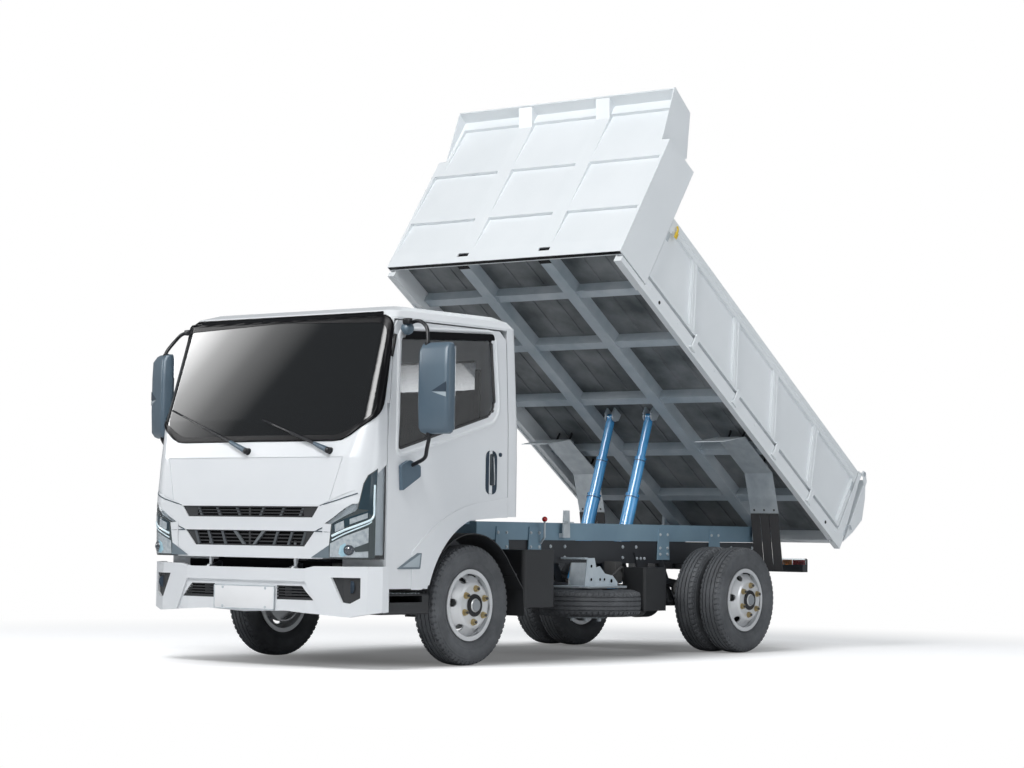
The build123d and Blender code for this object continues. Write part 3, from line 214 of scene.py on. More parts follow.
MATS = {
    "white": surface("cab_paint", (0.73, 0.75, 0.77), (0.695, 0.72, 0.745), 0.3,
                     coat=0.6, bump=0.02, grain=420),
    "bed": surface("bed_paint", (0.80, 0.83, 0.85), (0.75, 0.785, 0.805), 0.42, coat=0.15, bump=0.04),
    # painted shade: the underframe is the bed's paint made darker and bluer, as in shade; the floor's
    # underside is dark partly by its own colour and partly as painted shade
    "under": surface("bed_frame_paint_in_shade", (0.52, 0.57, 0.61), (0.33, 0.40, 0.45), 0.5,
                     bump=0.05, grain=200, blotch=3.5),
    "underside_shade": surface("bed_floor_underside_shade", (0.26, 0.275, 0.285), (0.055, 0.066, 0.070), 0.55,
                     bump=0.08, grain=120, blotch=2.6),
    "tyre": rubber("tyre_rubber", (0.058, 0.062, 0.068), (0.120, 0.127, 0.137)),
    "rim": surface("rim_silver", (0.72, 0.73, 0.74), (0.62, 0.635, 0.65), 0.32,
                   metal=0.45, bump=0.03, grain=180, coat=0.3),
    "brass": surface("nut_brass", (0.55, 0.46, 0.26), (0.42, 0.33, 0.18), 0.35, metal=0.9),
    "chassis": surface("chassis_black", (0.022, 0.025, 0.03), (0.04, 0.044, 0.05), 0.45,
                       bump=0.06, grain=160),
    "sub": surface("subframe_grey", (0.205, 0.315, 0.395), (0.15, 0.24, 0.315), 0.5,
                   bump=0.05, grain=160),
    "iron": surface("cast_iron", (0.09, 0.09, 0.09), (0.05, 0.05, 0.05), 0.7,
                    metal=0.3, bump=0.3, grain=90),
    "plastic": surface("dark_plastic", (0.020, 0.022, 0.025), (0.013, 0.014, 0.016), 0.5,
                       bump=0.12, grain=500),
    "steel": surface("exhaust_steel", (0.30, 0.29, 0.28), (0.18, 0.16, 0.15), 0.45,
                     metal=0.8, bump=0.1, grain=90),
    "zinc": surface("galvanised_sheet", (0.60, 0.645, 0.67), (0.47, 0.515, 0.55), 0.45,
                    metal=0.4, bump=0.05, grain=60, blotch=14),
    "mirror": surface("mirror_shell", (0.085, 0.13, 0.17), (0.06, 0.095, 0.13), 0.38,
                      bump=0.05, grain=400),
    "blue": surface("cylinder_blue", (0.085, 0.37, 0.72), (0.065, 0.31, 0.62), 0.25, coat=0.7, grain=200),
    "black": surface("black_trim", (0.008, 0.009, 0.011), (0.014, 0.015, 0.018), 0.35, gloss=0.3),
    "jet": surface("screen_border_black", (0.002, 0.002, 0.003), (0.004, 0.004, 0.005), 0.3, gloss=0.12),
    "trim": surface("interior_trim", (0.016, 0.015, 0.016), (0.010, 0.009, 0.010), 0.75,
                    bump=0.2, grain=600, gloss=0.2),
    "seat": surface("seat_cloth", (0.030, 0.028, 0.030), (0.018, 0.017, 0.019), 0.9,
                    bump=0.5, grain=900, gloss=0.2),
    "chrome": surface("reflector_chrome", (0.75, 0.77, 0.80), (0.6, 0.62, 0.65), 0.15,
                      metal=1.0, grain=100),
    "amber": surface("amber_lens", (0.75, 0.25, 0.03), (0.6, 0.18, 0.02), 0.25, grain=150),
    "red": surface("red_lens", (0.5, 0.02, 0.02), (0.38, 0.012, 0.015), 0.25, grain=150),
    "rubber": surface("seal_rubber", (0.018, 0.018, 0.02), (0.03, 0.03, 0.033), 0.7, bump=0.1, grain=500),
    # painted shade: near-black sheets behind grilles, slots and gaps, and in holes
    "opening_shade": surface("painted_opening_shade", (0.004, 0.004, 0.005), (0.008, 0.008, 0.009), 0.9,
                    gloss=0.1, grain=60),
    "grille": surface("grille_bars", (0.075, 0.085, 0.095), (0.055, 0.063, 0.07), 0.4, grain=400),
    "grille_pale": surface("grille_chevron", (0.13, 0.145, 0.155), (0.10, 0.112, 0.12), 0.4, grain=400),
    "seam": surface("panel_seam", (0.045, 0.07, 0.09), (0.035, 0.055, 0.075), 0.6, grain=400),
    "lamp_teal": surface("lamp_lining_teal", (0.018, 0.045, 0.062), (0.010, 0.028, 0.040), 0.12,
                         grain=60, coat=1.0, blotch=9.0),
    "lamp_slate": surface("lamp_panel_slate", (0.062, 0.077, 0.080), (0.045, 0.058, 0.062), 0.2,
                          grain=200, coat=0.8),
    "lamp_silver": surface("lamp_silver", (0.58, 0.63, 0.66), (0.36, 0.41, 0.44), 0.18,
                           metal=0.25, grain=200, coat=1.0, blotch=38.0),
    "lamp_ice": surface("lamp_tinted_lens", (0.42, 0.62, 0.70), (0.26, 0.44, 0.54), 0.1,
                        grain=200, coat=1.0, blotch=30.0),
    # painted shade: dark blue for the shade inside recesses and pockets
    "recess_shade": surface("recess_painted_shade", (0.030, 0.050, 0.075), (0.018, 0.032, 0.050), 0.4,
                    coat=0.1, gloss=0.3),
    "filler": surface("lamp_surround", (0.16, 0.20, 0.23), (0.12, 0.155, 0.18), 0.35, grain=400),
    "plate": surface("blank_plate", (0.80, 0.81, 0.82), (0.76, 0.77, 0.78), 0.4),
    "cap": surface("hub_cap_grey", (0.30, 0.32, 0.34), (0.22, 0.24, 0.26), 0.45, grain=200),
    "projector": surface("projector_glass", (0.03, 0.04, 0.05), (0.045, 0.055, 0.07), 0.06,
                         coat=1.0, grain=50),
    "lens_grey": surface("pale_lens", (0.42, 0.48, 0.52), (0.34, 0.40, 0.44), 0.12, coat=1.0, grain=200),
    "handle": surface("door_handle", (0.020, 0.030, 0.040), (0.012, 0.020, 0.028), 0.3,
                      coat=0.2, gloss=0.3),
    "mirror_glass": surface("mirror_glass", (0.80, 0.82, 0.84), (0.74, 0.76, 0.78), 0.06,
                            metal=1.0, grain=40, rough_spread=0.02),
    "yellow": surface("latch_yellow", (0.75, 0.55, 0.05), (0.62, 0.42, 0.03), 0.4),
    "bright_zinc": surface("bright_zinc", (0.62, 0.69, 0.74), (0.50, 0.57, 0.62), 0.35,
                           metal=0.3, grain=90, blotch=12),
    "dark_blue": surface("wiper_ring", (0.02, 0.10, 0.22), (0.015, 0.07, 0.16), 0.4),
    "glass": glazing("window_glass", (0.74, 0.76, 0.78), 1.0),
    "screen": screen_glass(),
    "lens": glazing("lamp_lens", (0.85, 0.9, 0.93), 0.95),
    "drl": glow("light_guide", (0.62, 0.74, 0.79), 0.12),
}

NODE_MATS = {"cab_glass": "screen", "bed_underframe": "under", "rear_flaps": "rubber"}
SLOT_MATS = {
    "tyre": "tyre", "rim_silver": "rim", "chassis_black": "chassis", "subframe_grey": "sub",
    "cast_block": "iron", "dark_plastic": "plastic", "exhaust_steel": "steel", "galvanised": "zinc",
    "cab_white": "white", "glass": "glass", "cab_trim": "trim", "seat_cloth": "seat", "lamp_lens": "lens",
    "mirror_housing": "mirror", "bed_silver": "bed", "cylinder_blue": "blue",
}


def dress_cad():
    """Gives every CAD node a finished material."""
    slots = {part["node"]: part["material_slot"] for part in frame["record"]["subparts"]}
    for name, piece in NODES.items():
        key = NODE_MATS.get(name) or SLOT_MATS[slots[name]]
        for slot in piece.material_slots:
            slot.link = "OBJECT"
            slot.material = MATS[key]


# ---------------------------------------------------------------- shapes
TRUCK = Matrix.Translation((0, AXLE_Y, 0))       # from x, distance behind the front axle, height
BED = (Matrix.Translation(HINGE) @ Matrix.Rotation(-TIP, 4, "X")
       @ Matrix.Translation((0, -HINGE_U, -HINGE_W)))       # from the bed's x, u, w
MIRROR = Matrix.Diagonal((-1, 1, 1, 1))


def smooth_path(points, steps=6, closed=False):
    """Curve through the points, several steps to a stretch."""
    pts = [Vector(p) for p in points]
    n = len(pts)
    out = []
    for i in range(n if closed else n - 1):
        p1, p2 = pts[i], pts[(i + 1) % n]
        p0 = pts[i - 1] if closed or i else p1 * 2 - p2
        p3 = pts[(i + 2) % n] if closed or i < n - 2 else p2 * 2 - p1
        for k in range(steps):
            t = k / steps
            out.append(0.5 * (2 * p1 + (p2 - p0) * t + (2 * p0 - 5 * p1 + 4 * p2 - p3) * t * t
                              + (3 * p1 - p0 - 3 * p2 + p3) * t ** 3))
    if not closed:
        out.append(pts[-1])
    return out


def rounded(points, r, steps=5):
    """Outline in two axes with its corners rounded."""
    out = []
    for i, p in enumerate(points):
        p, a, b = Vector(p), Vector(points[i - 1]), Vector(points[(i + 1) % len(points)])
        cut = min(r, (a - p).length / 2, (b - p).length / 2)
        p0, p2 = p + (a - p).normalized() * cut, p + (b - p).normalized() * cut
        for k in range(steps + 1):
            t = k / steps
            out.append(p0 * (1 - t) ** 2 + p * (2 * t * (1 - t)) + p2 * t * t)
    return out


def placed(name, data):
    """New object in the scene."""
    obj = bpy.data.objects.new(name, data)
    bpy.context.scene.collection.objects.link(obj)
    return obj


def finished(name, mesh, mat, body, angle):
    """Object of a mesh, smooth but for its sharp edges, that rides on a body."""
    mesh.materials.append(MATS[mat])
    mesh.shade_smooth()
    mesh.set_sharp_from_angle(angle=math.radians(angle))
    obj = placed(name, mesh)
    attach(obj, body)
    return obj


def turned(steps):
    """Angles of equal steps round a circle."""
    return [2 * math.pi * k / steps for k in range(steps)]


class Piece:
    """One mesh of one material, gathered from simple shapes, that rides on a body."""

    def __init__(self, name, mat, body, place=TRUCK):
        self.name, self.mat, self.body, self.place = name, mat, body, place
        self.bm = bmesh.new()

    def ring(self, points):
        return [self.bm.verts.new(p) for p in points]

    def skin(self, rings, closed=False):
        """Faces between neighbouring rings, and between the last and the first of a closed row."""
        count = len(rings[0])
        for a, b in zip(rings, rings[1:] + rings[:1] if closed else rings[1:]):
            for k in range(count):
                j = (k + 1) % count
                self.bm.faces.new((a[k], a[j], b[j], b[k]))

    def box(self, x, y, z, bevel=0.0, turn=None):
        """Box from three (low, high) pairs, turned about its middle."""
        sides = (x, y, z)
        middle = Matrix.Translation([sum(side) / 2 for side in sides])
        size = Matrix.Diagonal((*[abs(side[1] - side[0]) for side in sides], 1))
        made = bmesh.ops.create_cube(self.bm, size=1, matrix=middle @ (turn or Matrix()) @ size)
        if bevel:
            edges = list({e for v in made["verts"] for e in v.link_edges})
            bmesh.ops.bevel(self.bm, geom=edges, offset=bevel, segments=2, affect="EDGES", profile=0.5)
        return self

    def rod(self, p, q, r, end_r=None, sides=20):
        """Round bar, or a cone, from p to q."""
        p, q = Vector(p), Vector(q)
        axis = q - p
        spot = Matrix.Translation((p + q) / 2) @ axis.to_track_quat("Z", "Y").to_matrix().to_4x4()
        bmesh.ops.create_cone(self.bm, cap_ends=True, segments=sides, depth=axis.length, matrix=spot,
                              radius1=r, radius2=r if end_r is None else end_r)
        return self

    def ball(self, p, r, sides=16):
        spot = Matrix.Translation(p)
        bmesh.ops.create_uvsphere(self.bm, u_segments=sides, v_segments=sides // 2, radius=r, matrix=spot)
        return self

    def hose(self, points, r, sides=10, steps=6, closed=False):
        """Round tube along a smooth curve through the points."""
        path = smooth_path(points, steps, closed) if steps > 1 else [Vector(p) for p in points]
        n = len(path)
        rings, across = [], None
        for i, p in enumerate(path):
            ahead = path[(i + 1) % n] if closed or i < n - 1 else p
            behind = path[i - 1] if closed or i else p
            along = (ahead - behind).normalized()
            if across is None:
                across = along.orthogonal().normalized()
            across = (across - along * across.dot(along)).normalized()
            other = along.cross(across)
            around = (across * math.cos(a) + other * math.sin(a) for a in turned(sides))
            rings.append(self.ring(p + out * r for out in around))
        self.skin(rings, closed)
        if not closed:
            self.bm.faces.new(rings[0][::-1])
            self.bm.faces.new(rings[-1])
        return self

    def lathe(self, profile, spot, steps=48):
        """Line of (along, radius) points turned about the local X axis, placed by spot."""
        self.skin([self.ring(spot @ Vector((a, r * math.cos(t), r * math.sin(t))) for t in turned(steps))
                   for a, r in profile])
        return self

    def slab(self, outline, axis, low, high):
        """Flat outline in the two other axes, from low to high along an axis."""
        ends = []
        for c in (low, high):
            ends.append(self.ring(((c, a, b), (a, c, b), (a, b, c))[axis] for a, b in outline))
        self.bm.faces.new(ends[0])
        self.bm.faces.new(ends[1][::-1])
        self.skin(ends)
        return self

    def bolts(self, spots, out, r=0.009, high=0.007):
        """Hexagon heads on washers, standing out from each spot."""
        out = Vector(out)
        for p in spots:
            p = Vector(p)
            self.rod(p - out * 0.001, p + out * 0.0025, r * 1.35, sides=16)
            self.rod(p, p + out * high, r, sides=6)
        return self

    def done(self, angle=35.0, pair=False, flip=False):
        """Makes the mesh; pair adds the right one of two mirrored pieces, flip suits a mirrored place."""
        bmesh.ops.recalc_face_normals(self.bm, faces=self.bm.faces)
        obj = self.make(self.name, self.body, self.place, flip, angle)
        if pair:
            names = [name.replace("left", "right") for name in (self.name, self.body)]
            self.make(*names, self.place @ MIRROR, True, angle)
        self.bm.free()
        return obj

    def make(self, name, body, place, flip, angle):
        mesh = bpy.data.meshes.new(name)
        self.bm.to_mesh(mesh)
        mesh.transform(place)
        if flip:
            mesh.flip_normals()
        return finished(name, mesh, self.mat, body, angle)


def tree_of(*nodes):
    """Surface of several CAD nodes together, for finding points on it."""
    verts, faces = [], []
    for name in nodes:
        piece = NODES[name]
        shift = len(verts)
        verts += [piece.matrix_world @ v.co for v in piece.data.vertices]
        faces += [[shift + i for i in p.vertices] for p in piece.data.polygons]
    return BVHTree.FromPolygons(verts, faces)


def outside(tree, start, way, lift):
    """Where a ray meets a surface, in the truck's drawing, and the direction out of it there."""
    hit, normal, _, _ = tree.ray_cast(start, way)
    if hit is None:
        return None
    if normal.dot(way) > 0:
        normal = -normal
    return hit - Vector((0, AXLE_Y, 0)) + normal * lift, normal


def front_of(tree, x, z, lift=0.0):
    """Point on a surface seen from the front, and the direction out of it."""
    return outside(tree, at(x, -3, z), Vector((0, 1, 0)), lift)


def side_of(tree, y, z, lift=0.0):
    """Point on a surface seen from the left, and the direction out of it."""
    return outside(tree, at(3, y, z), Vector((-1, 0, 0)), lift)


# ---------------------------------------------------------------- tyres and wheels
TYRE_R, TYRE_HALF = 0.375, 0.09
RIM_FACE = 0.105                 # distance of a wheel's disc from the tyre's middle
LUGS = 60
GROOVES = (0.0165, 0.045)        # distance of the tread's grooves from its middle
GROOVE_HALF, GROOVE_DEEP = 0.004, 0.008
TREAD_HALF = 0.062
RIDGES = (0.346, 0.331, 0.312, 0.268, 0.240)          # radii of the raised rings on a sidewall
NUTS, NUT_RING = 6, 0.104        # count of a wheel's nuts, and radius of their ring
FIRST_NUT = 54                   # the first one's angle, in degrees
GAP_DEEP = 0.007                 # depth of the gaps between the shoulder's lugs
WAVE = 0.0016                    # how far the grooves' edges wander sideways


def tyre_columns():
    """Half of a tyre's profile from the middle of the tread inwards: x, radius, in a lug's gap, wavy."""
    def crown(x):
        return TYRE_R - 0.004 * (x / TREAD_HALF) ** 2
    cols = [(0.0, TYRE_R, False, 0)]
    for g in GROOVES:
        a, b = g - GROOVE_HALF, g + GROOVE_HALF
        cols += [(a, crown(a), False, 1), (a + 0.001, crown(a) - GROOVE_DEEP, False, 1),
                 (b - 0.001, crown(b) - GROOVE_DEEP, False, 1), (b, crown(b), False, 1)]
    cols += [(0.054, crown(0.054), False, 0), (0.0545, crown(0.0545), True, 0), (TREAD_HALF, 0.371, True, 0),
             (0.072, 0.366, True, 0), (0.0765, 0.354, True, 0)]
    belly, top, low = Vector((TYRE_HALF, 0.290)), Vector((0.077, 0.352)), Vector((TREAD_HALF, 0.226))
    for k in range(1, 25):
        t = k / 24
        p = top * (1 - t) ** 2 + (belly * 2 - (top + low) / 2) * 2 * t * (1 - t) + low * t * t
        near = min(abs(p.y - r) for r in RIDGES)
        raised = 0.0016 if near < 0.0035 else 0.0
        cols.append((min(p.x + raised, TYRE_HALF + 0.0002), p.y, False, 0))
    cols.append((TREAD_HALF, 0.2036, False, 0))
    return cols


def tyre(name, body, node, x, y, z, lying=False):
    """Tyre with rings on its sidewalls, ribs between wavy grooves and shoulder lugs."""
    half = tyre_columns()
    cols = [(-a, r, gap, -wave) for a, r, gap, wave in reversed(half[1:])] + half
    verts, faces = [], []
    beats = ((0.0, 0, -1), (0.58, 0, 1), (0.64, 1, 1), (0.94, 1, -1))      # share of a lug's pitch, gap, wave
    for lug in range(LUGS):
        for share, gap, way in beats:
            a = 2 * math.pi * (lug + share) / LUGS
            for cx, r, gapped, wave in cols:
                r -= GAP_DEEP if gapped and gap else 0.0
                cx += WAVE * way * abs(wave)
                verts.append((cx, r * math.cos(a), r * math.sin(a)))
    rings, n = LUGS * len(beats), len(cols)
    for i in range(rings):
        j = (i + 1) % rings
        faces += [(i * n + k, i * n + k + 1, j * n + k + 1, j * n + k) for k in range(n - 1)]
    mesh = bpy.data.meshes.new(name)
    mesh.from_pydata(verts, [], faces)
    mesh.transform(Matrix.Translation(at(x, y, z)) @ Matrix.Rotation(math.pi / 2 if lying else 0, 4, "Y"))
    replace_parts(finished(name, mesh, "tyre", body, 32), node)


VALVE = ((-0.055, 0.188), (-0.02, 0.186), (0.004, 0.176))      # from a rim's face and the axle's height


def wheel_fittings(name, body, x, y):
    """Brass nuts on studs, dark hub ring (the hub's black paint, and painted shade in the gap round it), cap
    and valve of one wheel.
    """
    face = x + RIM_FACE
    nuts = Piece("nuts_" + name, "brass", body)
    studs = Piece("studs_" + name, "iron", body)
    for k in range(NUTS):
        a = math.radians(FIRST_NUT + 360 / NUTS * k)
        cy, cz = y - NUT_RING * math.sin(a), AXLE_Z + NUT_RING * math.cos(a)
        nuts.rod((face - 0.001, cy, cz), (face + 0.0215, cy, cz), 0.0172, sides=6)
        nuts.rod((face - 0.001, cy, cz), (face + 0.004, cy, cz), 0.0215)
        studs.rod((face + 0.02, cy, cz), (face + 0.030, cy, cz), 0.0085, sides=12)
    spot = Matrix.Translation((face, y, AXLE_Z))
    # the black ring is partly painted shade in the gap between hub and disc
    ring = Piece("hub_ring_" + name, "black", body)
    ring.lathe([(0.001, 0.0705), (0.007, 0.069), (0.0078, 0.052), (0.0082, 0.041)], spot)
    cap = Piece("hub_cap_" + name, "cap", body)
    cap.lathe([(0.012, 0.0385), (0.019, 0.036), (0.021, 0.030), (0.0222, 0.0005)], spot)
    lip = Piece("rim_lip_" + name, "rim", body)
    lip.lathe([(-0.039, 0.214), (-0.0345, 0.2165), (-0.0342, 0.2195), (-0.039, 0.2222)], spot, 96)
    valve = Piece("valve_" + name, "black", body)
    valve.hose([(face + dx, y, AXLE_Z + dz) for dx, dz in VALVE], 0.0045)
    for piece in (nuts, studs, ring, cap, lip, valve):
        piece.done(pair=True)


def wheels():
    """Tyres, rim fittings and the spare."""
    for side, sign in (("left", 1), ("right", -1)):
        low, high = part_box("tyre_front_" + side)
        x = (low.x + high.x) / 2
        tyre("tread_front_" + side, "wheel_front_" + side, "tyre_front_" + side, x, 0, AXLE_Z)
        for k, rx in enumerate(REAR_XS):
            tyre("tread_rear_%s_%d" % (side, k + 1), "wheels_rear_" + side, "tyres_rear_" + side,
                 sign * rx, WHEELBASE, AXLE_Z)
    wheel_fittings("front_left", "wheel_front_left", FRONT_X, 0)
    wheel_fittings("rear_left", "wheels_rear_left", REAR_XS[0], WHEELBASE)
    low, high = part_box("spare_tyre")
    mid = (low + high) / 2
    tyre("tread_spare", "chassis", "spare_tyre", mid.x, mid.y - AXLE_Y, mid.z, lying=True)


# ---------------------------------------------------------------- cab
# The cab's front unrolled: width from its middle, over the round corner, and height.
SCREEN = ((0, 1.364), (0.712, 1.362), (0.945, 1.530), (0.880, 2.120), (0, 2.146))
SCREEN_HOLE = ((0, 1.398), (0.672, 1.394), (0.898, 1.516), (0.850, 2.074), (0, 2.106))
# Upright axis of the cab's front corners: height, x, y.
CORNER = ((0.380, 0.742, -0.910), (0.640, 0.742, -0.923), (0.980, 0.740, -0.926), (1.262, 0.750, -0.902),
          (1.360, 0.778, -0.902), (1.500, 0.822, -0.905), (2.118, 0.802, -0.722), (2.160, 0.772, -0.675))
CORNER_R, CORNER_SHRINKS, CORNER_NARROWING = (0.155, 0.073), (1.27, 1.50), 0.08
PANEL_STEP, PANEL_THICK = 0.02, 0.0015           # width of a panel's strips on the round corner, thickness
BORDER_STEP, BORDER_RINGS, BORDER_LIFT = 0.03, 8, 0.0035
PANEL_LEVELS = (0.72, 0.80, 0.88, 0.96, 1.04, 1.12)
SEAMS = (((0.588, 0.972), (0.745, 1.010), (0.872, 1.052)), ((0.530, 0.812), (0.690, 0.868), (0.842, 0.935)))
WINDOW = ((-0.738, 1.318), (-0.702, 1.992), (0.160, 2.040), (0.183, 1.614), (0.140, 1.560))
WINDOW_BEAD = ((-0.756, 1.272), (-0.722, 2.045), (0.198, 2.086), (0.226, 1.590), (0.168, 1.512))
# Outline of a black band of painted shade along the top of the door's window.
WINDOW_SHADE_BAND = ((-0.700, 1.985), (-0.668, 2.034), (0.150, 2.070), (0.168, 2.030))
POCKET = ((0.092, 0.196), (1.068, 1.336))
PILLAR_SLOT = ((0.925, 1.872), (0.922, 1.94), (0.916, 2.008))
REAR_WINDOW = ((-0.56, 1.48), (-0.56, 1.93), (0.56, 1.93), (0.56, 1.48))


def two_sided(points):
    """Outline of both sides from its left half."""
    return [*points, *[(-a, b) for a, b in reversed(points) if a]]


def denser(points, steps):
    """Closed outline with each stretch split into equal steps."""
    out = []
    for p, q in zip(points, [*points[1:], points[0]]):
        out += [Vector(p).lerp(Vector(q), k / steps) for k in range(steps)]
    return out


def corner_axis(z):
    """Place of the round corner's axis at a height."""
    for low, high in zip(CORNER, CORNER[1:]):
        if z <= high[0]:
            break
    t = (z - low[0]) / (high[0] - low[0])
    return low[1] + (high[1] - low[1]) * t, low[2] + (high[2] - low[2]) * t


def corner_radius(z):
    """Radius of the cab's front corners at a height: large at the lamps, small at the roof."""
    if z < CORNER_SHRINKS[0]:
        return CORNER_R[0]
    if z >= CORNER_SHRINKS[1]:
        return CORNER_R[1]
    share = (z - CORNER_SHRINKS[0]) / (CORNER_SHRINKS[1] - CORNER_SHRINKS[0])
    return CORNER_R[0] - share * CORNER_NARROWING


def wrapped(tree, s, z, lift=0.0):
    """Point and outward direction on the cab's front, s across from its middle and on round the corner."""
    side = -1 if s < 0 else 1
    ax, ay = corner_axis(z)
    past = abs(s) - ax
    if past <= 0:
        out = Vector((0, -1, 0))
        start = at(s, -3, z)
    else:
        turn = past / corner_radius(z)
        out = Vector((side * math.sin(turn), -math.cos(turn), 0))
        start = at(side * ax, ay, z) + out * 2
    found = outside(tree, start, -out, lift)
    if found is None:
        found = Vector((side * ax, ay, z)) + out * (corner_radius(z) + lift), out
    return found


def decal(piece, tree, outline, lift):
    """Adds a thin panel with an outline in unrolled width and height, lying on the cab's front."""
    flat = bmesh.new()
    flat.faces.new([flat.verts.new((s, 0, z)) for s, z in outline])
    low, high = min(p[0] for p in outline), max(p[0] for p in outline)
    steps = int((high - low) / PANEL_STEP)
    cuts = [((1, 0, 0), (low + (high - low) * k / steps, 0, 0)) for k in range(1, steps)]
    cuts += [((0, 0, 1), (0, 0, z)) for z in PANEL_LEVELS]
    for normal, spot in cuts:
        everything = [*flat.verts, *flat.edges, *flat.faces]
        bmesh.ops.bisect_plane(flat, geom=everything, plane_no=normal, plane_co=spot)
    spots = [wrapped(tree, v.co.x, v.co.z, lift) for v in flat.verts]
    backs = piece.ring(p - out * PANEL_THICK for p, out in spots)
    fronts = piece.ring(p for p, _ in spots)
    flat.verts.index_update()
    for face in flat.faces:
        ids = [v.index for v in face.verts]
        piece.bm.faces.new([fronts[i] for i in ids])
        piece.bm.faces.new([backs[i] for i in reversed(ids)])
    for edge in flat.edges:
        if len(edge.link_faces) == 1:
            a, b = (v.index for v in edge.verts)
            piece.bm.faces.new((fronts[a], fronts[b], backs[b], backs[a]))
    flat.free()


def cab_glazing(cab):
    """Black printed border of the windscreen, its seal, and the rear window's seal."""
    outer, inner = rounded(two_sided(SCREEN), 0.085), rounded(two_sided(SCREEN_HOLE), 0.07)
    counts = [max(1, math.ceil((q - p).length / BORDER_STEP)) for p, q in zip(outer, [*outer[1:], outer[0]])]
    rows = []
    for t in (k / BORDER_RINGS for k in range(BORDER_RINGS + 1)):
        ring = [p.lerp(q, t) for p, q in zip(outer, inner)]
        stretches = zip(ring, [*ring[1:], ring[0]], counts)
        spots = [p.lerp(q, k / n) for p, q, n in stretches for k in range(n)]
        rows.append([wrapped(cab, x, z, BORDER_LIFT)[0] for x, z in spots])
    border = Piece("windscreen_border", "jet", "cab")
    border.skin([border.ring(row) for row in rows])
    border.done()
    Piece("windscreen_seal", "jet", "cab").hose(rows[0], 0.0055, 6, 1, closed=True).done()
    pane = Piece("rear_window_seal", "rubber", "cab")
    ring = denser(rounded(REAR_WINDOW, 0.04), 2)
    pane.hose([(x, 0.4215, z) for x, z in ring], 0.011, 8, 1, closed=True)
    pane.done()


def screen_shade():
    """Sun visors and the inner mirror behind the windscreen's top."""
    visors = Piece("sun_visors", "trim", "cab")
    for x in (-0.42, 0.42):
        visors.box((x - 0.2, x + 0.2), (-0.66, -0.645), (1.95, 2.08), 0.006, Matrix.Rotation(-0.5, 4, "X"))
    visors.hose([(0, -0.70, 2.10), (0, -0.70, 2.02)], 0.008)
    visors.box((-0.12, 0.12), (-0.715, -0.69), (1.96, 2.02), 0.008)
    visors.done()


def wiper(piece, foot, cab, pivot, tip, reach):
    """Wiper from its pivot on the cowl along the glass: arm, joint and blade, on a thick foot."""
    def on(share, lift):
        x, z = Vector(pivot).lerp(Vector(tip), share)
        return front_of(cab, x, z, lift)[0]
    base, mid, end = on(0, 0.012), on(0.55, 0.034), on(1, 0.016)
    piece.rod(on(0, -0.004), on(0, 0.022), 0.024, 0.016)
    piece.ball(base + Vector((0, -0.012, 0)), 0.019)
    low = base.lerp(mid, 0.38)
    piece.hose([base + Vector((0, -0.008, 0)), low, mid], 0.0095, 8)
    foot.rod(base + Vector((0, -0.010, 0)), low, 0.019, 0.011)
    piece.hose([low, mid, end.lerp(mid, 0.35)], 0.0062, 8)
    blade = [on(share, 0.011) for share in (1 - reach, 1 - reach * 0.66, 1 - reach * 0.33, 1)]
    piece.hose(blade, 0.0065, 6)
    piece.hose([p + Vector((0, -0.011, 0.002)) for p in blade], 0.0042, 6)


def cab_front(cab):
    """Wipers, dark sheets of painted shade behind the grilles and in the gap under the cab, grille diagonals,
    panel seams and the blank number plate.
    """
    wipers, feet = Piece("wipers", "black", "cab"), Piece("wiper_feet", "mirror", "cab")
    wiper(wipers, feet, cab, (-0.059, 1.300), (-0.80, 1.565), 0.72)
    wiper(wipers, feet, cab, (0.622, 1.300), (0.02, 1.490), 0.78)
    wipers.done()
    feet.done()
    # painted shade behind the grilles and in the cab's gap
    dark = Piece("grille_backs", "opening_shade", "cab")
    dark.box((-0.60, 0.60), (-1.049, -1.044), (0.885, 0.985))
    dark.box((-0.57, 0.57), (-1.049, -1.044), (0.71, 0.835))
    dark.done()
    Piece("cab_gap_back", "opening_shade", "chassis").box((-0.60, 0.60), (-0.985, -0.980), (0.560, 0.640)).done()
    bars, pale = Piece("grille_diagonals", "grille", "cab"), Piece("grille_chevron", "grille_pale", "cab")
    for s in (1, -1):
        for low, high, spots in ((0.906, 0.962, (0.10, 0.27, 0.43)), (0.733, 0.815, (0.22, 0.34, 0.45))):
            for x in spots:
                bar = ((x - 0.026, low), (x - 0.006, low), (x + 0.026, high), (x + 0.006, high))
                bars.slab([(s * a, z) for a, z in bar], 1, -1.0745, -1.062)
        chevron = ((0.030, 0.733), (0.052, 0.733), (0.135, 0.816), (0.108, 0.816))
        pale.slab([(s * a, z) for a, z in chevron], 1, -1.080, -1.066)
    bars.done()
    pale.done()
    seams = Piece("panel_seams", "seam", "cab")
    for line in SEAMS:
        for s in (1, -1):
            path = [Vector(p).lerp(Vector(q), k / 8) for p, q in zip(line, line[1:]) for k in range(8)]
            seams.hose([wrapped(cab, s * p[0], p[1], 0.0004)[0] for p in path], 0.0036, 6, 1)
    seams.done()
    (x0, x1), (z0, z1) = PLATE
    Piece("number_plate_blank", "plate", "chassis").box(
        (x0, x1), (-1.1145, -1.1085), (z0, z1), 0.002).done()
    surround = Piece("number_plate_frame", "zinc", "chassis")
    a, b = (x0 - PLATE_EDGE, x1 + PLATE_EDGE), (z0 - PLATE_EDGE, z1 + PLATE_EDGE)
    for x, z in ((a, (b[0], z0)), (a, (z1, b[1])), ((a[0], x0), b), ((x1, a[1]), b)):
        surround.box(x, (-1.116, -1.106), z, 0.001)
    surround.bolts([(x, -1.1145, z) for x in (-0.18, 0.18) for z in (0.358, 0.472)], (0, -1, 0), 0.006, 0.004)
    surround.done()


PLATE, PLATE_EDGE = ((-0.25, 0.25), (0.348, 0.482)), 0.006

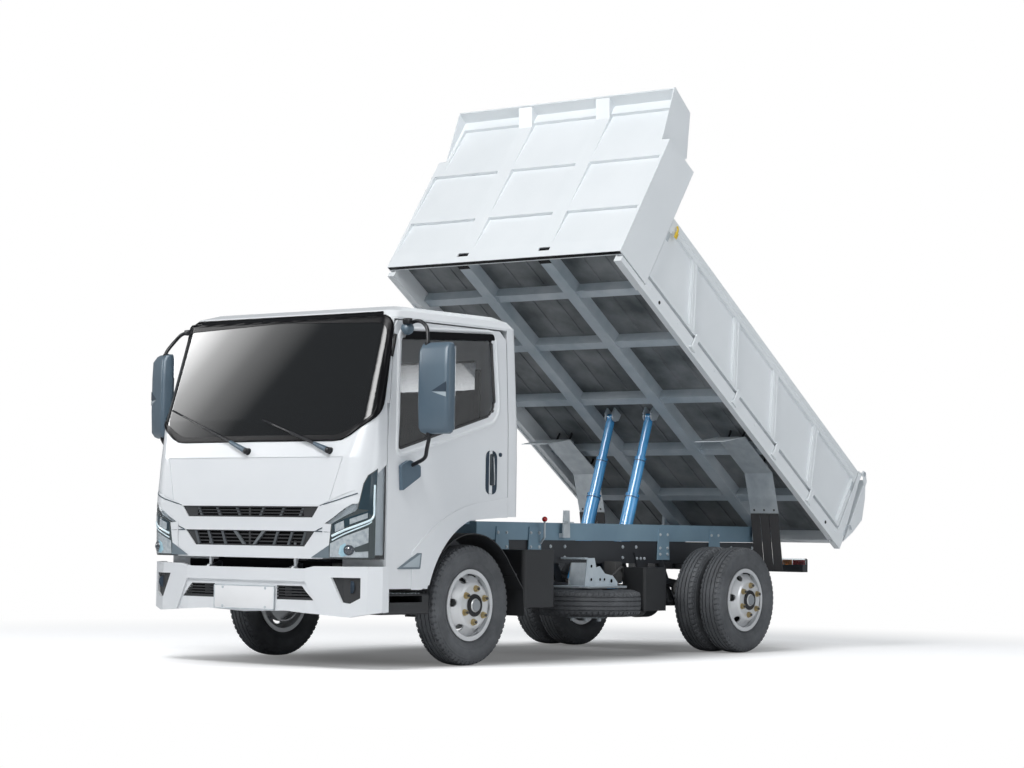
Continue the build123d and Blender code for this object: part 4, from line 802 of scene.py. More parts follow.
# Panels of the left lamp on the unrolled front, each with its finish and how far it stands out.
LAMP = (
    ("lamp_filler", "white", 0.0030,
     ((0.612, 0.868), (0.682, 0.862), (0.664, 0.740), (0.664, 0.664), (0.612, 0.664))),
    ("lamp_corner", "filler", 0.0042,
     ((0.520, 0.662), (0.664, 0.738), (0.668, 0.662))),
    ("lamp_body", "lamp_slate", 0.0024,
     ((0.885, 1.105), (0.910, 1.155), (0.958, 1.185), (0.975, 1.196), (0.975, 0.662), (0.665, 0.662),
      (0.662, 0.740), (0.682, 0.862), (0.845, 0.940), (0.858, 0.955))),
    ("lamp_top", "lamp_teal", 0.0036,
     ((0.890, 1.102), (0.914, 1.148), (0.962, 1.178), (0.974, 1.188), (0.974, 0.920), (0.970, 0.905),
      (0.930, 0.925), (0.920, 0.950), (0.864, 0.953))),
    ("lamp_low", "lamp_silver", 0.0040,
     ((0.674, 0.748), (0.926, 0.846), (0.926, 0.668), (0.672, 0.668))),
    ("lamp_tint", "lamp_ice", 0.0050,
     ((0.755, 0.735), (0.790, 0.752), (0.806, 0.680), (0.765, 0.670), (0.742, 0.690))),
    ("lamp_arrow", "lamp_slate", 0.0056,
     ((0.835, 0.722), (0.926, 0.757), (0.926, 0.705), (0.850, 0.700))),
    ("lamp_high", "lamp_teal", 0.0040,
     ((0.694, 0.864), (0.925, 0.945), (0.925, 0.900), (0.694, 0.812))),
    ("lamp_chip", "lamp_silver", 0.0056,
     ((0.712, 0.860), (0.778, 0.884), (0.782, 0.838), (0.716, 0.816))),
    ("lamp_band", "lamp_silver", 0.0052,
     ((0.815, 0.894), (0.918, 0.932), (0.918, 0.902), (0.815, 0.862))),
)
GUIDES = (((0.958, 1.098), (0.960, 1.010), (0.962, 0.935), (0.950, 0.900), (0.905, 0.876), (0.690, 0.793)),
          ((0.946, 0.880), (0.905, 0.858), (0.690, 0.768)))


def headlamps(lamp):
    """Panels of the headlamps, their light guides and the projector."""
    for name, mat, lift, outline in LAMP:
        piece = Piece(name + "_left", mat, "cab")
        decal(piece, lamp, outline, lift)
        piece.done(pair=True)
    for k, line in enumerate(GUIDES):
        guide = Piece("light_guide_%d_left" % (k + 1), "drl", "cab")
        path = smooth_path([Vector(p) for p in line], 5)
        guide.hose([wrapped(lamp, p[0], p[1], 0.003)[0] for p in path], 0.0072 if k == 0 else 0.0042, 8, 1)
        guide.done(pair=True)
    spot, out = wrapped(lamp, 0.810, 0.711, 0.004)
    eye = Piece("lamp_projector_left", "projector", "cab")
    eye.rod(spot - out * 0.006, spot + out * 0.004, 0.034, 0.031, 28)
    eye.ball(spot - out * 0.012, 0.0285, 24)
    eye.done(pair=True)


def door_details(door):
    """Window seal and bead, a black band of painted shade along the window's top, handle with a strip of
    painted highlight in its pocket of painted shade, lock, marker lamp and sill strip of both doors.
    """
    def around(outline, lift):
        return [spot[0] for spot in (side_of(door, y, z, lift) for y, z in outline) if spot]
    Piece("door_window_seal_left", "rubber", "door_left").hose(
        around(denser(rounded(WINDOW, 0.03), 3), -0.004), 0.0085, 8, 1, closed=True).done(pair=True)
    Piece("door_grip_left", "handle", "door_left").box(
        (0.898, 0.9105), (0.126, 0.172), (1.120, 1.318), 0.010).done(pair=True)
    # painted highlight: a bright strip along the dark grip
    Piece("door_grip_streak_left", "chrome", "door_left").hose(
        [(0.9085, 0.166, 1.125), (0.9105, 0.164, 1.20), (0.9085, 0.156, 1.30)], 0.0045, 8).done(pair=True)
    Piece("door_window_bead_left", "white", "door_left").hose(
        around(denser(rounded(WINDOW_BEAD, 0.07), 4), -0.009), 0.017, 10, 1, closed=True).done(60, pair=True)
    # painted shade: a black band along the window's top
    Piece("door_window_band_left", "jet", "door_left").slab(
        rounded(WINDOW_SHADE_BAND, 0.02), 0, 0.8985, 0.9000).done(pair=True)
    # painted shade: the pocket's dark blue stands for the shade in its recess
    pocket = Piece("door_pocket_left", "recess_shade", "door_left")
    pocket.slab(rounded(oblong(*POCKET, -0.0015), 0.048), 0, 0.8990, 0.9012)
    edge = denser(rounded(oblong(*POCKET), 0.050), 2)
    pocket.hose([(0.9005, y, z) for y, z in edge], 0.004, 6, 1, closed=True)
    pocket.rod((0.899, 0.232, 1.315), (0.9055, 0.232, 1.315), 0.013)
    pocket.done(pair=True)
    marker = rounded(((-0.735, 0.600), (-0.524, 0.600), (-0.508, 0.722)), 0.012)
    lens = rounded(((-0.690, 0.612), (-0.536, 0.612), (-0.524, 0.692)), 0.008)
    Piece("door_marker_left", "filler", "door_left").slab(marker, 0, 0.8965, 0.9025).done(pair=True)
    Piece("door_marker_lens_left", "lens_grey", "door_left").slab(lens, 0, 0.9025, 0.9045).done(pair=True)
    Piece("door_sill_strip_left", "rubber", "door_left").box(
        (0.868, 0.8955), (-0.828, -0.47), (0.4765, 0.4815), 0.001).done(pair=True)


def pillar_slots(cab):
    """Dark slot in each corner pillar beside the windscreen."""
    Piece("pillar_slot_left", "jet", "cab").hose(
        [wrapped(cab, s, z, -0.001)[0] for s, z in PILLAR_SLOT], 0.0105, 8, 2).done(pair=True)


def oblong(y, z, more=0.0):
    """Corners of an upright rectangle, grown by more."""
    (y0, y1), (z0, z1) = (y[0] - more, y[1] + more), (z[0] - more, z[1] + more)
    return (y0, z0), (y1, z0), (y1, z1), (y0, z1)


# Middle of the near mirror's housing, and its sections: height, half width, depth, share of that depth
# at the outer edge. The far one's head is turned.
MIRROR_AT = (1.168, -0.705, 1.680)
MIRROR_ROWS = ((-0.272, 0.088, 0.020, 0.6), (-0.262, 0.108, 0.036, 0.8), (-0.235, 0.116, 0.046, 1.0),
               (-0.10, 0.120, 0.050, 1.0), (0.12, 0.118, 0.050, 1.0), (0.225, 0.116, 0.046, 1.0),
               (0.262, 0.110, 0.026, 0.8), (0.272, 0.092, 0.010, 0.6))
MIRROR_FOOT = ((-0.735, 1.222), (-0.660, 1.255), (-0.562, 1.222), (-0.560, 1.158), (-0.725, 1.068))
FAR_TURN = math.radians(27)
UPPER_ARM = ((0.915, -0.690, 2.060), (0.955, -0.680, 2.086), (1.020, -0.690, 2.082), (1.075, -0.700, 2.040))
LOWER_ARM = ((0.918, -0.640, 1.222), (0.960, -0.640, 1.238), (1.040, -0.660, 1.268), (1.085, -0.695, 1.320))


def mirror(side, flip, turn):
    """Mirror of one door: housing with a folded top and a wedge pocket painted dark with shade, glass, arms,
    foot and cap.
    """
    place = TRUCK @ MIRROR if flip else TRUCK
    turned_head = Matrix.Translation(MIRROR_AT) @ Matrix.Rotation(turn, 4, "Z")
    head, body = place @ turned_head, "door_" + side
    shell = Piece("mirror_shell_" + side, "mirror", body, head)
    rings = []
    for z, wide, deep, outer in MIRROR_ROWS:
        corners = [(-wide, -deep), (wide, -deep * outer), (wide, 0.035), (-wide, 0.035)]
        rings.append(shell.ring((p.x, p.y, z) for p in rounded(corners, 0.028, 4)))
    shell.skin(rings)
    for ring in (rings[0], rings[-1]):
        shell.bm.faces.new(ring)
    bmesh.ops.remove_doubles(shell.bm, verts=shell.bm.verts, dist=0.0002)
    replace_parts(shell.done(flip=flip), "mirror_" + side)
    foot = Piece("mirror_foot_" + side, "mirror", body, place)
    foot.slab(rounded(MIRROR_FOOT, 0.012), 0, 0.8975, 0.9265)
    foot.ball((0.912, -0.690, 2.046), 0.040, 24)
    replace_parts(foot.done(flip=flip), "mirror_" + side)
    # painted shade: a flat dark wedge for the pocket's recess
    Piece("mirror_pocket_" + side, "recess_shade", body, head).slab(
        [(-0.004, -0.020), (0.108, -0.024), (0.108, 0.034)], 1, -0.0512, -0.0485).done(flip=flip)
    Piece("mirror_pocket_lip_" + side, "lens_grey", body, head).slab(
        [(0.000, -0.024), (0.108, -0.028), (0.108, -0.056)], 1, -0.0512, -0.0485).done(flip=flip)
    Piece("mirror_glass_" + side, "mirror_glass", body, head).box(
        (-0.108, 0.108), (0.0352, 0.0372), (-0.25, 0.25), 0.001).done(flip=flip)
    arms = Piece("mirror_arms_" + side, "black", body, place)
    up = Vector((0, 0, 1))
    top, low = turned_head @ Vector((-0.072, -0.01, 0.262)), turned_head @ Vector((-0.050, -0.01, -0.275))
    arms.hose([*UPPER_ARM, top + up * 0.02, top - up * 0.03], 0.0115, 12)
    arms.hose([*LOWER_ARM, low - up * 0.02, low + up * 0.03], 0.0120, 12)
    arms.box((0.908, 0.962), (-0.735, -0.700), (2.070, 2.105), 0.006)
    arms.rod(top - up * 0.02, top + up * 0.012, 0.019)
    arms.rod(low - up * 0.012, low + up * 0.02, 0.019)
    arms.done(flip=flip)


# ---------------------------------------------------------------- bumper and steps
def bumper_details():
    """Fog lamps painted dark blue as the shade in their pockets, and a dark sheet of painted shade behind the
    bumper's air slots; treads of the steps.
    """
    # painted shade: the fog lamps are dark as their pockets' shade
    Piece("fog_lamp_left", "recess_shade", "chassis").rod(
        (0.792, -1.012, 0.492), (0.786, -1.024, 0.492), 0.040, 0.038, 28).done(pair=True)
    ring = Piece("fog_ring_left", "black", "chassis")
    spot = Matrix.Translation((0.787, -1.022, 0.492)) @ Matrix.Rotation(math.radians(-63), 4, "Z")
    ring.lathe([(0.0, 0.040), (0.006, 0.043), (0.006, 0.047), (0.0, 0.048)], spot, 36)
    ring.done(pair=True)
    # painted shade behind the air slots
    Piece("bumper_grille_back", "opening_shade", "chassis").box(
        (-0.57, 0.57), (-0.992, -0.986), (0.372, 0.505)).done()
    tread = Piece("step_treads_left", "zinc", "chassis")
    for k in range(9):
        y = -0.79 + 0.034 * k
        tread.box((0.668, 0.888), (y, y + 0.008), (0.4525, 0.4565), 0.001)
    tread.done(pair=True)


# ---------------------------------------------------------------- interior
def with_modifier(obj):
    """The object's mesh as its modifiers shape it, which are then dropped."""
    shaped = obj.evaluated_get(bpy.context.evaluated_depsgraph_get())
    mesh = bpy.data.meshes.new_from_object(shaped)
    obj.modifiers.clear()
    obj.data = mesh


def swell(obj, pressure, cap):
    """Lets a closed form swell as cloth under pressure, with no point moving further than cap."""
    home = [v.co.copy() for v in obj.data.vertices]
    cloth = obj.modifiers.new("cloth", "CLOTH").settings
    cloth.use_pressure = True
    cloth.uniform_pressure_force = pressure
    cloth.effector_weights.gravity = 0
    for step in range(1, SWELL_STEPS + 1):
        bpy.context.scene.frame_set(step)
    shaped = obj.evaluated_get(bpy.context.evaluated_depsgraph_get()).data
    moved = [v.co - start for v, start in zip(shaped.vertices, home)]
    obj.modifiers.clear()
    for vert, start, move in zip(obj.data.vertices, home, moved):
        vert.co = start + move * min(1.0, cap / max(move.length, 1e-9))
    bpy.context.scene.frame_set(1)


def cushion(name, size, spot, seams):
    """Seat pad: swollen as cloth, then sewn across its face at the seams."""
    bm = bmesh.new()
    bmesh.ops.create_cube(bm, size=1, matrix=Matrix.Diagonal((*size, 1)))
    bmesh.ops.bevel(bm, geom=bm.edges[:], offset=min(size) * 0.3, segments=3, affect="EDGES", profile=0.5)
    mesh = bpy.data.meshes.new(name)
    bm.to_mesh(mesh)
    bm.free()
    obj = placed(name, mesh)
    remesh = obj.modifiers.new("remesh", "REMESH")
    remesh.mode = "VOXEL"
    remesh.voxel_size = SEAT_VOXEL
    with_modifier(obj)
    swell(obj, 4.0, 0.012)
    face = 2 if size[2] < size[1] else 1
    for vert in obj.data.vertices:
        sink = sum(SEAM_DEEP * math.exp(-((vert.co.x - x) / SEAM_WIDE) ** 2) for x in seams)
        vert.co[face] -= math.copysign(sink, vert.co[face])
    obj.modifiers.new("smooth", "SUBSURF").levels = 1
    with_modifier(obj)
    obj.data.transform(TRUCK @ spot)
    obj.data.materials.clear()
    obj.data.materials.append(MATS["seat"])
    obj.data.shade_smooth()
    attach(obj, "cab")
    return obj


SWELL_STEPS = 20
SEAT_VOXEL = 0.013
SEAM_DEEP, SEAM_WIDE = 0.010, 0.014
SEATS = (("driver", -0.680, -0.150), ("passenger", -0.090, 0.680))


def seats():
    """Padded seats with their head rests on posts, in place of the plain blocks."""
    posts = Piece("head_rest_posts", "zinc", "cab")
    for name, x0, x1 in SEATS:
        mid, wide = (x0 + x1) / 2, x1 - x0 - 0.02
        seams = (-wide * 0.27, wide * 0.27) if wide < 0.6 else (-wide * 0.34, 0, wide * 0.34)
        pad = Matrix.Translation((mid, -0.095, 1.073))
        back = Matrix.Translation((mid, 0.125, 1.140)) @ Matrix.Rotation(math.radians(-12), 4, "X")
        rest = Matrix.Translation((mid, 0.270, 1.785)) @ Matrix.Rotation(math.radians(-8), 4, "X")
        for part, size, spot, lines in (
                ("_seat_pad", (wide, 0.46, 0.094), pad, seams),
                ("_seat_back", (wide, 0.082, 0.61), back @ Matrix.Translation((0, 0.052, 0.32)), seams),
                ("_head_rest", (0.215, 0.056, 0.128), rest @ Matrix.Translation((0, 0.0375, 0.075)), ())):
            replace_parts(cushion(name + part, size, spot, lines), "seats")
        for s in (-0.05, 0.05):
            posts.rod((mid + s, 0.302, 1.71), (mid + s, 0.312, 1.80), 0.006)
    posts.done()


VENT_TURN = Matrix.Rotation(0.25, 4, "X")


def cabin_fittings():
    """Back wall's dark lining, partly painted shade for the cab's inside, dash vents, radio, gear lever, hand
    brake and seat belts.
    """
    # dark trim sheets, which also paint the cab's inside with shade
    lining = Piece("back_wall_lining_shade", "trim", "cab")
    for x, z in (((-0.80, 0.80), (1.95, 2.07)), ((-0.80, 0.80), (1.00, 1.46)), ((0.575, 0.80), (1.46, 1.95)),
                 ((-0.80, -0.575), (1.46, 1.95))):
        lining.box(x, (0.398, 0.403), z)
    lining.done()
    black = Piece("dash_fittings", "black", "cab")
    for x in (-0.72, -0.12, 0.12, 0.72):
        black.box((x - 0.06, x + 0.06), (-0.7405, -0.722), (1.185, 1.235), 0.004, VENT_TURN)
    black.box((-0.09, 0.09), (-0.708, -0.690), (1.085, 1.135), 0.004)
    black.hose([(-0.02, -0.52, 0.896), (-0.02, -0.50, 1.05), (-0.03, -0.44, 1.17)], 0.011)
    black.ball((-0.03, -0.435, 1.185), 0.027)
    black.hose([(-0.05, -0.35, 0.90), (-0.05, -0.32, 0.98), (-0.05, -0.18, 0.99)], 0.012)
    black.done()
    belt = Piece("seat_belts", "trim", "cab")
    for x in (-0.70, 0.70):
        belt.box((x - 0.023, x + 0.023), (0.236, 0.240), (1.16, 1.86))
    belt.done()


# ---------------------------------------------------------------- chassis
# Places of the bolts along the truck: in the rails' webs, the sub-frame's plates and the spring hangers.
WEB_BOLTS = (0.55, 0.73, 1.44, 1.60, 2.27, 2.43, 3.48, 3.64, 3.92)
PLATE_BOLTS = (0.9, 1.25, 2.75, 3.4)
HANGER_BOLTS = (-0.54, 0.54, 2.47, 3.59)


def frame_bolts():
    """Bolt rows along the frame."""
    bolts = Piece("frame_bolts", "zinc", "chassis")
    for s in (1, -1):
        bolts.bolts([(s * 0.3755, y, z) for y in WEB_BOLTS for z in (0.665, 0.74)], (s, 0, 0), 0.009)
        bolts.bolts([(s * 0.3905, y + dy, z) for y in PLATE_BOLTS for dy in (-0.045, 0.045)
                     for z in (0.69, 0.735, 0.83)], (s, 0, 0), 0.008)
        bolts.bolts([(s * 0.3875, y + dy, 0.66) for y in HANGER_BOLTS for dy in (-0.045, 0.0, 0.045)],
                    (s, 0, 0), 0.008)
    bolts.done()


def axle_fittings():
    """U bolts of the springs, shock absorbers and the rear brake chambers."""
    clamps = Piece("spring_clamps", "iron", "chassis")
    dampers = Piece("shock_absorbers", "chassis", "chassis")
    for s in (1, -1):
        for y, low, high in ((0, 0.29, 0.432), (WHEELBASE, 0.300, 0.52)):
            for bolt_y in (y - 0.042, y + 0.042):
                for x in (s * 0.384, s * 0.456):
                    clamps.rod((x, bolt_y, low), (x, bolt_y, high + 0.012), 0.0075, sides=10)
                z = high + 0.008
                clamps.rod((s * 0.380, bolt_y, z), (s * 0.460, bolt_y, z), 0.0075, sides=10)
            clamps.box((s * 0.378, s * 0.462), (y - 0.055, y + 0.055), (low, low + 0.010), 0.002)
        for y, dy, foot in ((0.0, 0.21, 0.345), (WHEELBASE, -0.30, 0.35)):
            low, high = Vector((s * 0.345, y + dy * 0.35, foot)), Vector((s * 0.352, y + dy, 0.665))
            mid = low.lerp(high, 0.45)
            dampers.rod(low, mid, 0.017)
            dampers.rod(mid - (high - low) * 0.06, high, 0.029)
            dampers.rod(low - Vector((0.02, 0, 0)), low + Vector((0.02, 0, 0)), 0.024)
    clamps.done()
    dampers.done()
    pot = Piece("brake_chamber_left", "iron", "chassis")
    pot.rod((0.47, 2.86, 0.45), (0.52, 2.80, 0.45), 0.062, sides=28)
    pot.rod((0.46, 2.872, 0.45), (0.472, 2.858, 0.45), 0.070, sides=28)
    pot.done(pair=True)


def frame_fittings():
    """Air tank with its straps, pipes along the rails and the tipping pump."""
    x, z, ends = 0.20, 0.53, (1.12, 1.46)
    tank = Piece("air_tanks", "chassis", "chassis")
    tank.rod((x, ends[0], z), (x, ends[1], z), 0.075, sides=28)
    for y in ends:
        tank.ball((x, y, z), 0.0745, 28)
    tank.done()
    straps = Piece("tank_straps", "zinc", "chassis")
    for y in (1.19, 1.39):
        ring = [(x + 0.0775 * math.cos(a), y, z + 0.0775 * math.sin(a)) for a in turned(24)]
        straps.hose(ring, 0.005, 6, 1, closed=True)
        straps.box((0.185, 0.215), (y - 0.012, y + 0.012), (0.605, 0.66))
    straps.done()
    lines = Piece("brake_lines", "black", "chassis")
    for x, z in ((0.300, 0.742), (0.288, 0.720)):
        lines.hose([(x, -0.80, z), (x, 0.2, z), (x, 1.5, z), (x, 2.6, z), (x - 0.05, 2.85, z - 0.08),
                    (x - 0.10, 2.98, 0.50)], 0.006, 8, 4)
        lines.hose([(-x, -0.80, z), (-x, 0.8, z), (-x, 2.2, z), (-x, 3.9, z - 0.02)], 0.008, 8, 4)
    for s in (1, -1):
        lines.hose([(s * x, y, z) for x, y, z in LIFT_HOSE], 0.011, 10, 6)
        lines.hose([(s * x, y, z) for x, y, z in BRAKE_HOSE], 0.008, 8, 6)
    lines.done()
    pump = Piece("tipping_pump", "iron", "chassis")
    pump.box((-0.10, 0.06), (0.62, 0.84), (0.46, 0.60), 0.012)
    pump.rod((-0.02, 0.84, 0.53), (-0.02, 0.98, 0.53), 0.055)
    pump.done()


LIFT_HOSE = ((0.31, 2.05, 0.72), (0.29, 2.16, 0.67), (0.275, 2.27, 0.60), (0.27, 2.33, 0.50))
BRAKE_HOSE = ((0.36, -0.15, 0.62), (0.47, -0.12, 0.55), (0.55, -0.07, 0.46))
BRACKET = ((1.530, 0.470), (1.560, 0.665), (1.640, 0.665), (1.660, 0.600), (1.700, 0.610), (1.760, 0.560),
           (1.850, 0.545), (1.905, 0.500), (1.905, 0.470))
BRACKET_HOLES = ((1.60, 0.61, 0.013), (1.60, 0.52, 0.013), (1.70, 0.52, 0.012), (1.75, 0.52, 0.012),
                 (1.83, 0.51, 0.016))


def carrier_details():
    """Spare wheel's folded bracket with its holes painted dark with shade, the winch, and a lever's red knob
    behind the cab.
    """
    plate = Piece("spare_bracket", "bright_zinc", "chassis")
    # painted shade: dark discs in the bracket's holes
    holes = Piece("spare_bracket_hole_shade", "opening_shade", "chassis")
    plate.slab(BRACKET, 0, 0.594, 0.601)
    for y, z, r in BRACKET_HOLES:
        plate.rod((0.600, y, z), (0.604, y, z), r * 1.3, sides=20)
        holes.rod((0.6036, y, z), (0.6050, y, z), r * 0.8, sides=20)
    plate.box((0.39, 0.60), (1.535, 1.565), (0.655, 0.668), 0.002)
    plate.box((0.33, 0.65), (1.53, 1.95), (0.4705, 0.4765), 0.002)
    plate.done()
    holes.done()
    winch = Piece("spare_winch", "iron", "chassis")
    winch.rod((0.45, 1.97, 0.50), (0.45, 2.06, 0.50), 0.045)
    winch.rod((0.45, 1.90, 0.50), (0.45, 2.12, 0.50), 0.014)
    winch.box((0.40, 0.50), (2.02, 2.10), (0.50, 0.64), 0.006)
    winch.hose([(0.50, 1.98, 0.54), (0.54, 2.03, 0.60), (0.50, 2.10, 0.57), (0.47, 2.12, 0.50)], 0.008)
    winch.done()
    Piece("lever_knob", "red", "chassis").ball((0.432, 1.300, 0.922), 0.0185, 20).done()


def rear_fittings():
    """Lamp lenses, blank plate and tow pin at the rear."""
    for name, mat, x0, x1 in (("stop_lens", "red", 0.655, 0.765), ("turn_lens", "amber", 0.565, 0.650),
                              ("reverse_lens", "lens_grey", 0.485, 0.560)):
        Piece(name + "_left", mat, "chassis").box(
            (x0, x1), (4.062, 4.066), (0.582, 0.658), 0.0018).done(pair=True)
    Piece("rear_plate_blank", "plate", "chassis").box(
        (-0.24, 0.24), (4.0305, 4.034), (0.571, 0.617), 0.001).done()
    pin = Piece("tow_pin", "zinc", "chassis")
    pin.rod((0, 4.080, 0.625), (0, 4.080, 0.745), 0.0145)
    pin.rod((0, 4.080, 0.7255), (0, 4.080, 0.735), 0.024)
    pin.done()


# ---------------------------------------------------------------- bed
RIBS = ((0.971, 0.736), (1.618, 1.375), (2.220, 1.990), (2.820, 2.655))
MEMBER_US = (0.440, 1.000, 1.650, 2.280, 2.860)


def bed_fittings():
    """Latches, black plugs painted as the shade inside the rails' holes, bolts, and black strips of painted
    shadow along the headboard's lower edge and in its slots; pin caps and latches of the tailgate.
    """
    latch = Piece("board_latch_left", "yellow", "bed", BED)
    latch.box((1.0285, 1.036), (0.418, 0.450), (0.470, 0.515), 0.002)
    latch.hose([(1.034, 0.434, 0.50), (1.042, 0.415, 0.53), (1.038, 0.400, 0.545)], 0.007)
    latch.done(pair=True)
    # painted shade: black plugs fill the holes in the side rails
    hole_shade = Piece("bed_knobs_left", "black", "bed", BED)
    for u in (0.548, 3.139):
        hole_shade.rod((1.0200, u, -0.002), (1.0275, u, -0.002), 0.0128, sides=20)
    hole_shade.done(pair=True)
    bolts = Piece("bed_bolts", "bed", "bed", BED)
    for s in (1, -1):
        spots = [(s * 1.0276, u, 0.02) for u in (0.42, 0.80, 1.34, 1.97, 2.57, 3.28)]
        bolts.bolts(spots, (s, 0, 0), 0.007, 0.005)
    bolts.done()
    # painted shadow: a black strip along the headboard's lower edge, and black plates in its beams' slots
    slots = Piece("headboard_slot_shade", "jet", "bed", BED)
    slots.box((-1.020, 1.020), (0.004, 0.030), (-0.0015, 0.0005))
    for s in (1, -1):
        slots.box((s * 0.309, s * 0.406), (0.0095, 0.0115), (0.052, 0.082))
        slots.box((s * 0.309, s * 0.406), (0.041, 0.075), (-0.0015, 0.0005))
    slots.done()
    Piece("gate_pin_caps_left", "zinc", "tailgate", BED).rod(
        (1.040, 3.372, 0.600), (1.0455, 3.372, 0.600), 0.017).done(pair=True)
    hook = Piece("gate_latch_left", "zinc", "bed", BED)
    hook.box((1.028, 1.034), (3.392, 3.414), (0.06, 0.15), 0.002)
    hook.hose([(1.034, 3.403, 0.14), (1.042, 3.420, 0.16), (1.040, 3.455, 0.15)], 0.006)
    hook.done(pair=True)


def board_fittings():
    """Raised edges of the drop sides' ribs and rail, and the sides' handles."""
    piece = Piece("side_board_trim_left", "bed", "side_board_left", BED)
    for foot, top in RIBS:
        for off in (-0.020, 0.020):
            piece.hose([(1.0175, foot + off, 0.104), (1.0175, top + off, 0.498)], 0.0035, 6, 1)
    piece.hose([(1.0225, 0.40, 0.540), (1.0225, 3.27, 0.540)], 0.006, 8, 1)
    piece.done(pair=True)
    handle = Piece("side_board_handles_left", "zinc", "side_board_left", BED)
    for u in (0.376, 3.294):
        handle.box((1.0215, 1.0265), (u - 0.012, u + 0.012), (0.40, 0.47), 0.002)
    handle.done(pair=True)


def underfloor():
    """Underside of the floor sheet between the members, painted dark partly as shade, with faint pressed
    ribs.
    """
    panels, ribs = Piece("floor_underside", "underside_shade", "bed", BED), Piece("floor_ribs", "underside_shade", "bed", BED)
    for a, b in zip((0.014, *MEMBER_US), (*MEMBER_US, 3.410)):
        for x0, x1 in ((-0.964, -0.407), (-0.308, 0.308), (0.407, 0.964)):
            panels.box((x0, x1), (a + 0.0365, b - 0.0365), (0.0835, 0.0856))
            for k in (1, 2):
                x = x0 + (x1 - x0) * k / 3
                ribs.box((x - 0.010, x + 0.010), (a + 0.06, b - 0.06), (0.079, 0.084), 0.002)
    panels.done()
    ribs.done()
    gusset = Piece("member_gussets", "under", "bed", BED)
    for u in MEMBER_US:
        for s in (1, -1):
            gusset.slab([(s * 0.405, 0.010), (s * 0.470, 0.020), (s * 0.405, 0.060)], 1, u - 0.040, u - 0.035)
            gusset.slab([(s * 0.966, 0.010), (s * 0.900, 0.020), (s * 0.966, 0.060)], 1, u - 0.040, u - 0.035)
    gusset.done()


def guard_fittings():
    """Posts over the rear mudguards, and the bolts of their ends and flaps."""
    posts, bolts = Piece("guard_posts", "black", "bed", BED), Piece("guard_bolts", "iron", "bed", BED)
    for s in (1, -1):
        for x in (0.72, 0.84):
            for u in (2.115, 2.445):
                posts.rod((s * x, u, -0.012), (s * x, u, 0.084), 0.008)
        for x in (0.70, 0.785, 0.87):
            bolts.rod((s * x, 2.716, -0.192), (s * x, 2.722, -0.186), 0.009, sides=6)
        for x in (0.70, 0.87):
            for u, w in ((2.68565, -0.16447), (2.65275, -0.13745)):
                bolts.rod((s * x, u, w), (s * x, u + 0.006, w + 0.006), 0.008, sides=6)
    posts.done()
    bolts.done()


CYLINDER_FOOT, CYLINDER_X = Vector((0, 2.434, 0.460)), 0.172
CYLINDER_LEAN = math.radians(19.15)
FIRST_RING, STROKE = 0.414, 0.2811      # from the foot to the barrel's mouth, and what each stage slides out
RING_ENDS = (-0.0300, -0.0235)


def cylinder_fittings():
    """Blue wiper rings at the mouths of the lift cylinders' stages, and caps on their lower pins."""
    along = Vector((0, math.sin(CYLINDER_LEAN), math.cos(CYLINDER_LEAN)))
    turn = along.to_track_quat("X", "Z").to_matrix().to_4x4()
    stages = (("cylinder_barrels", 0.064), ("cylinder_stage_1", 0.052), ("cylinder_stage_2", 0.044))
    for k, (body, r) in enumerate(stages):
        mouth = CYLINDER_FOOT + along * (FIRST_RING + k * STROKE)
        low, high = RING_ENDS
        section = [(low, r - 0.002), (low, r + 0.0012), (high, r + 0.0012), (high, r - 0.002)]
        ring = Piece(body + "_wipers", "dark_blue", body)
        for x in (CYLINDER_X, -CYLINDER_X):
            ring.lathe(section, Matrix.Translation(mouth + Vector((x, 0, 0))) @ turn, 32)
        ring.done()
    caps = Piece("cylinder_pin_caps", "zinc", "chassis")
    for s in (1, -1):
        caps.rod(CYLINDER_FOOT + Vector((s * 0.302, 0, 0)), CYLINDER_FOOT + Vector((s * 0.316, 0, 0)), 0.024)
    caps.done()


# ---------------------------------------------------------------- studio
CAM_AT = at(10.9486, -12.2419, 0.8197)         # fitted to the photograph, as the next two lines are
CAM_YAW, CAM_PITCH, CAM_ROLL = 0.6739, 0.0588, 0.0145
CAM_LENS = 89.57


def camera():
    """Camera at the photograph's angle."""
    fwd = Vector((-math.sin(CAM_YAW) * math.cos(CAM_PITCH), math.cos(CAM_YAW) * math.cos(CAM_PITCH),
                  math.sin(CAM_PITCH)))
    right = Vector((math.cos(CAM_YAW), math.sin(CAM_YAW), 0))
    up = right.cross(fwd)
    c, s = math.cos(CAM_ROLL), math.sin(CAM_ROLL)
    right, up = c * right + s * up, c * up - s * right
    data = bpy.data.cameras.new("camera")
    data.lens = CAM_LENS
    data.sensor_width = 36
    data.clip_end = 200
    cam = placed("camera", data)
    cam.matrix_world = Matrix((
        (right.x, up.x, -fwd.x, CAM_AT.x),
        (right.y, up.y, -fwd.y, CAM_AT.y),
        (right.z, up.z, -fwd.z, CAM_AT.z),
        (0, 0, 0, 1)))
    bpy.context.scene.camera = cam


def lamp(name, place, target, size, power, colour=(1, 1, 1)):
    """Soft rectangular lamp aimed at a point."""
    data = bpy.data.lights.new(name, "AREA")
    data.shape = "RECTANGLE"
    data.size, data.size_y = size
    data.energy = power
    data.color = colour
    obj = placed(name, data)
    obj.location = place
    obj.rotation_euler = (Vector(target) - Vector(place)).to_track_quat("-Z", "Y").to_euler()


SKY = 0.31                       # strength of the even light from all round
FLOOR_LIFT = 0.36                # light added to the floor where the camera sees it
FLOOR_FADE = (3.6, 7.0)          # distances between which the floor turns to plain white
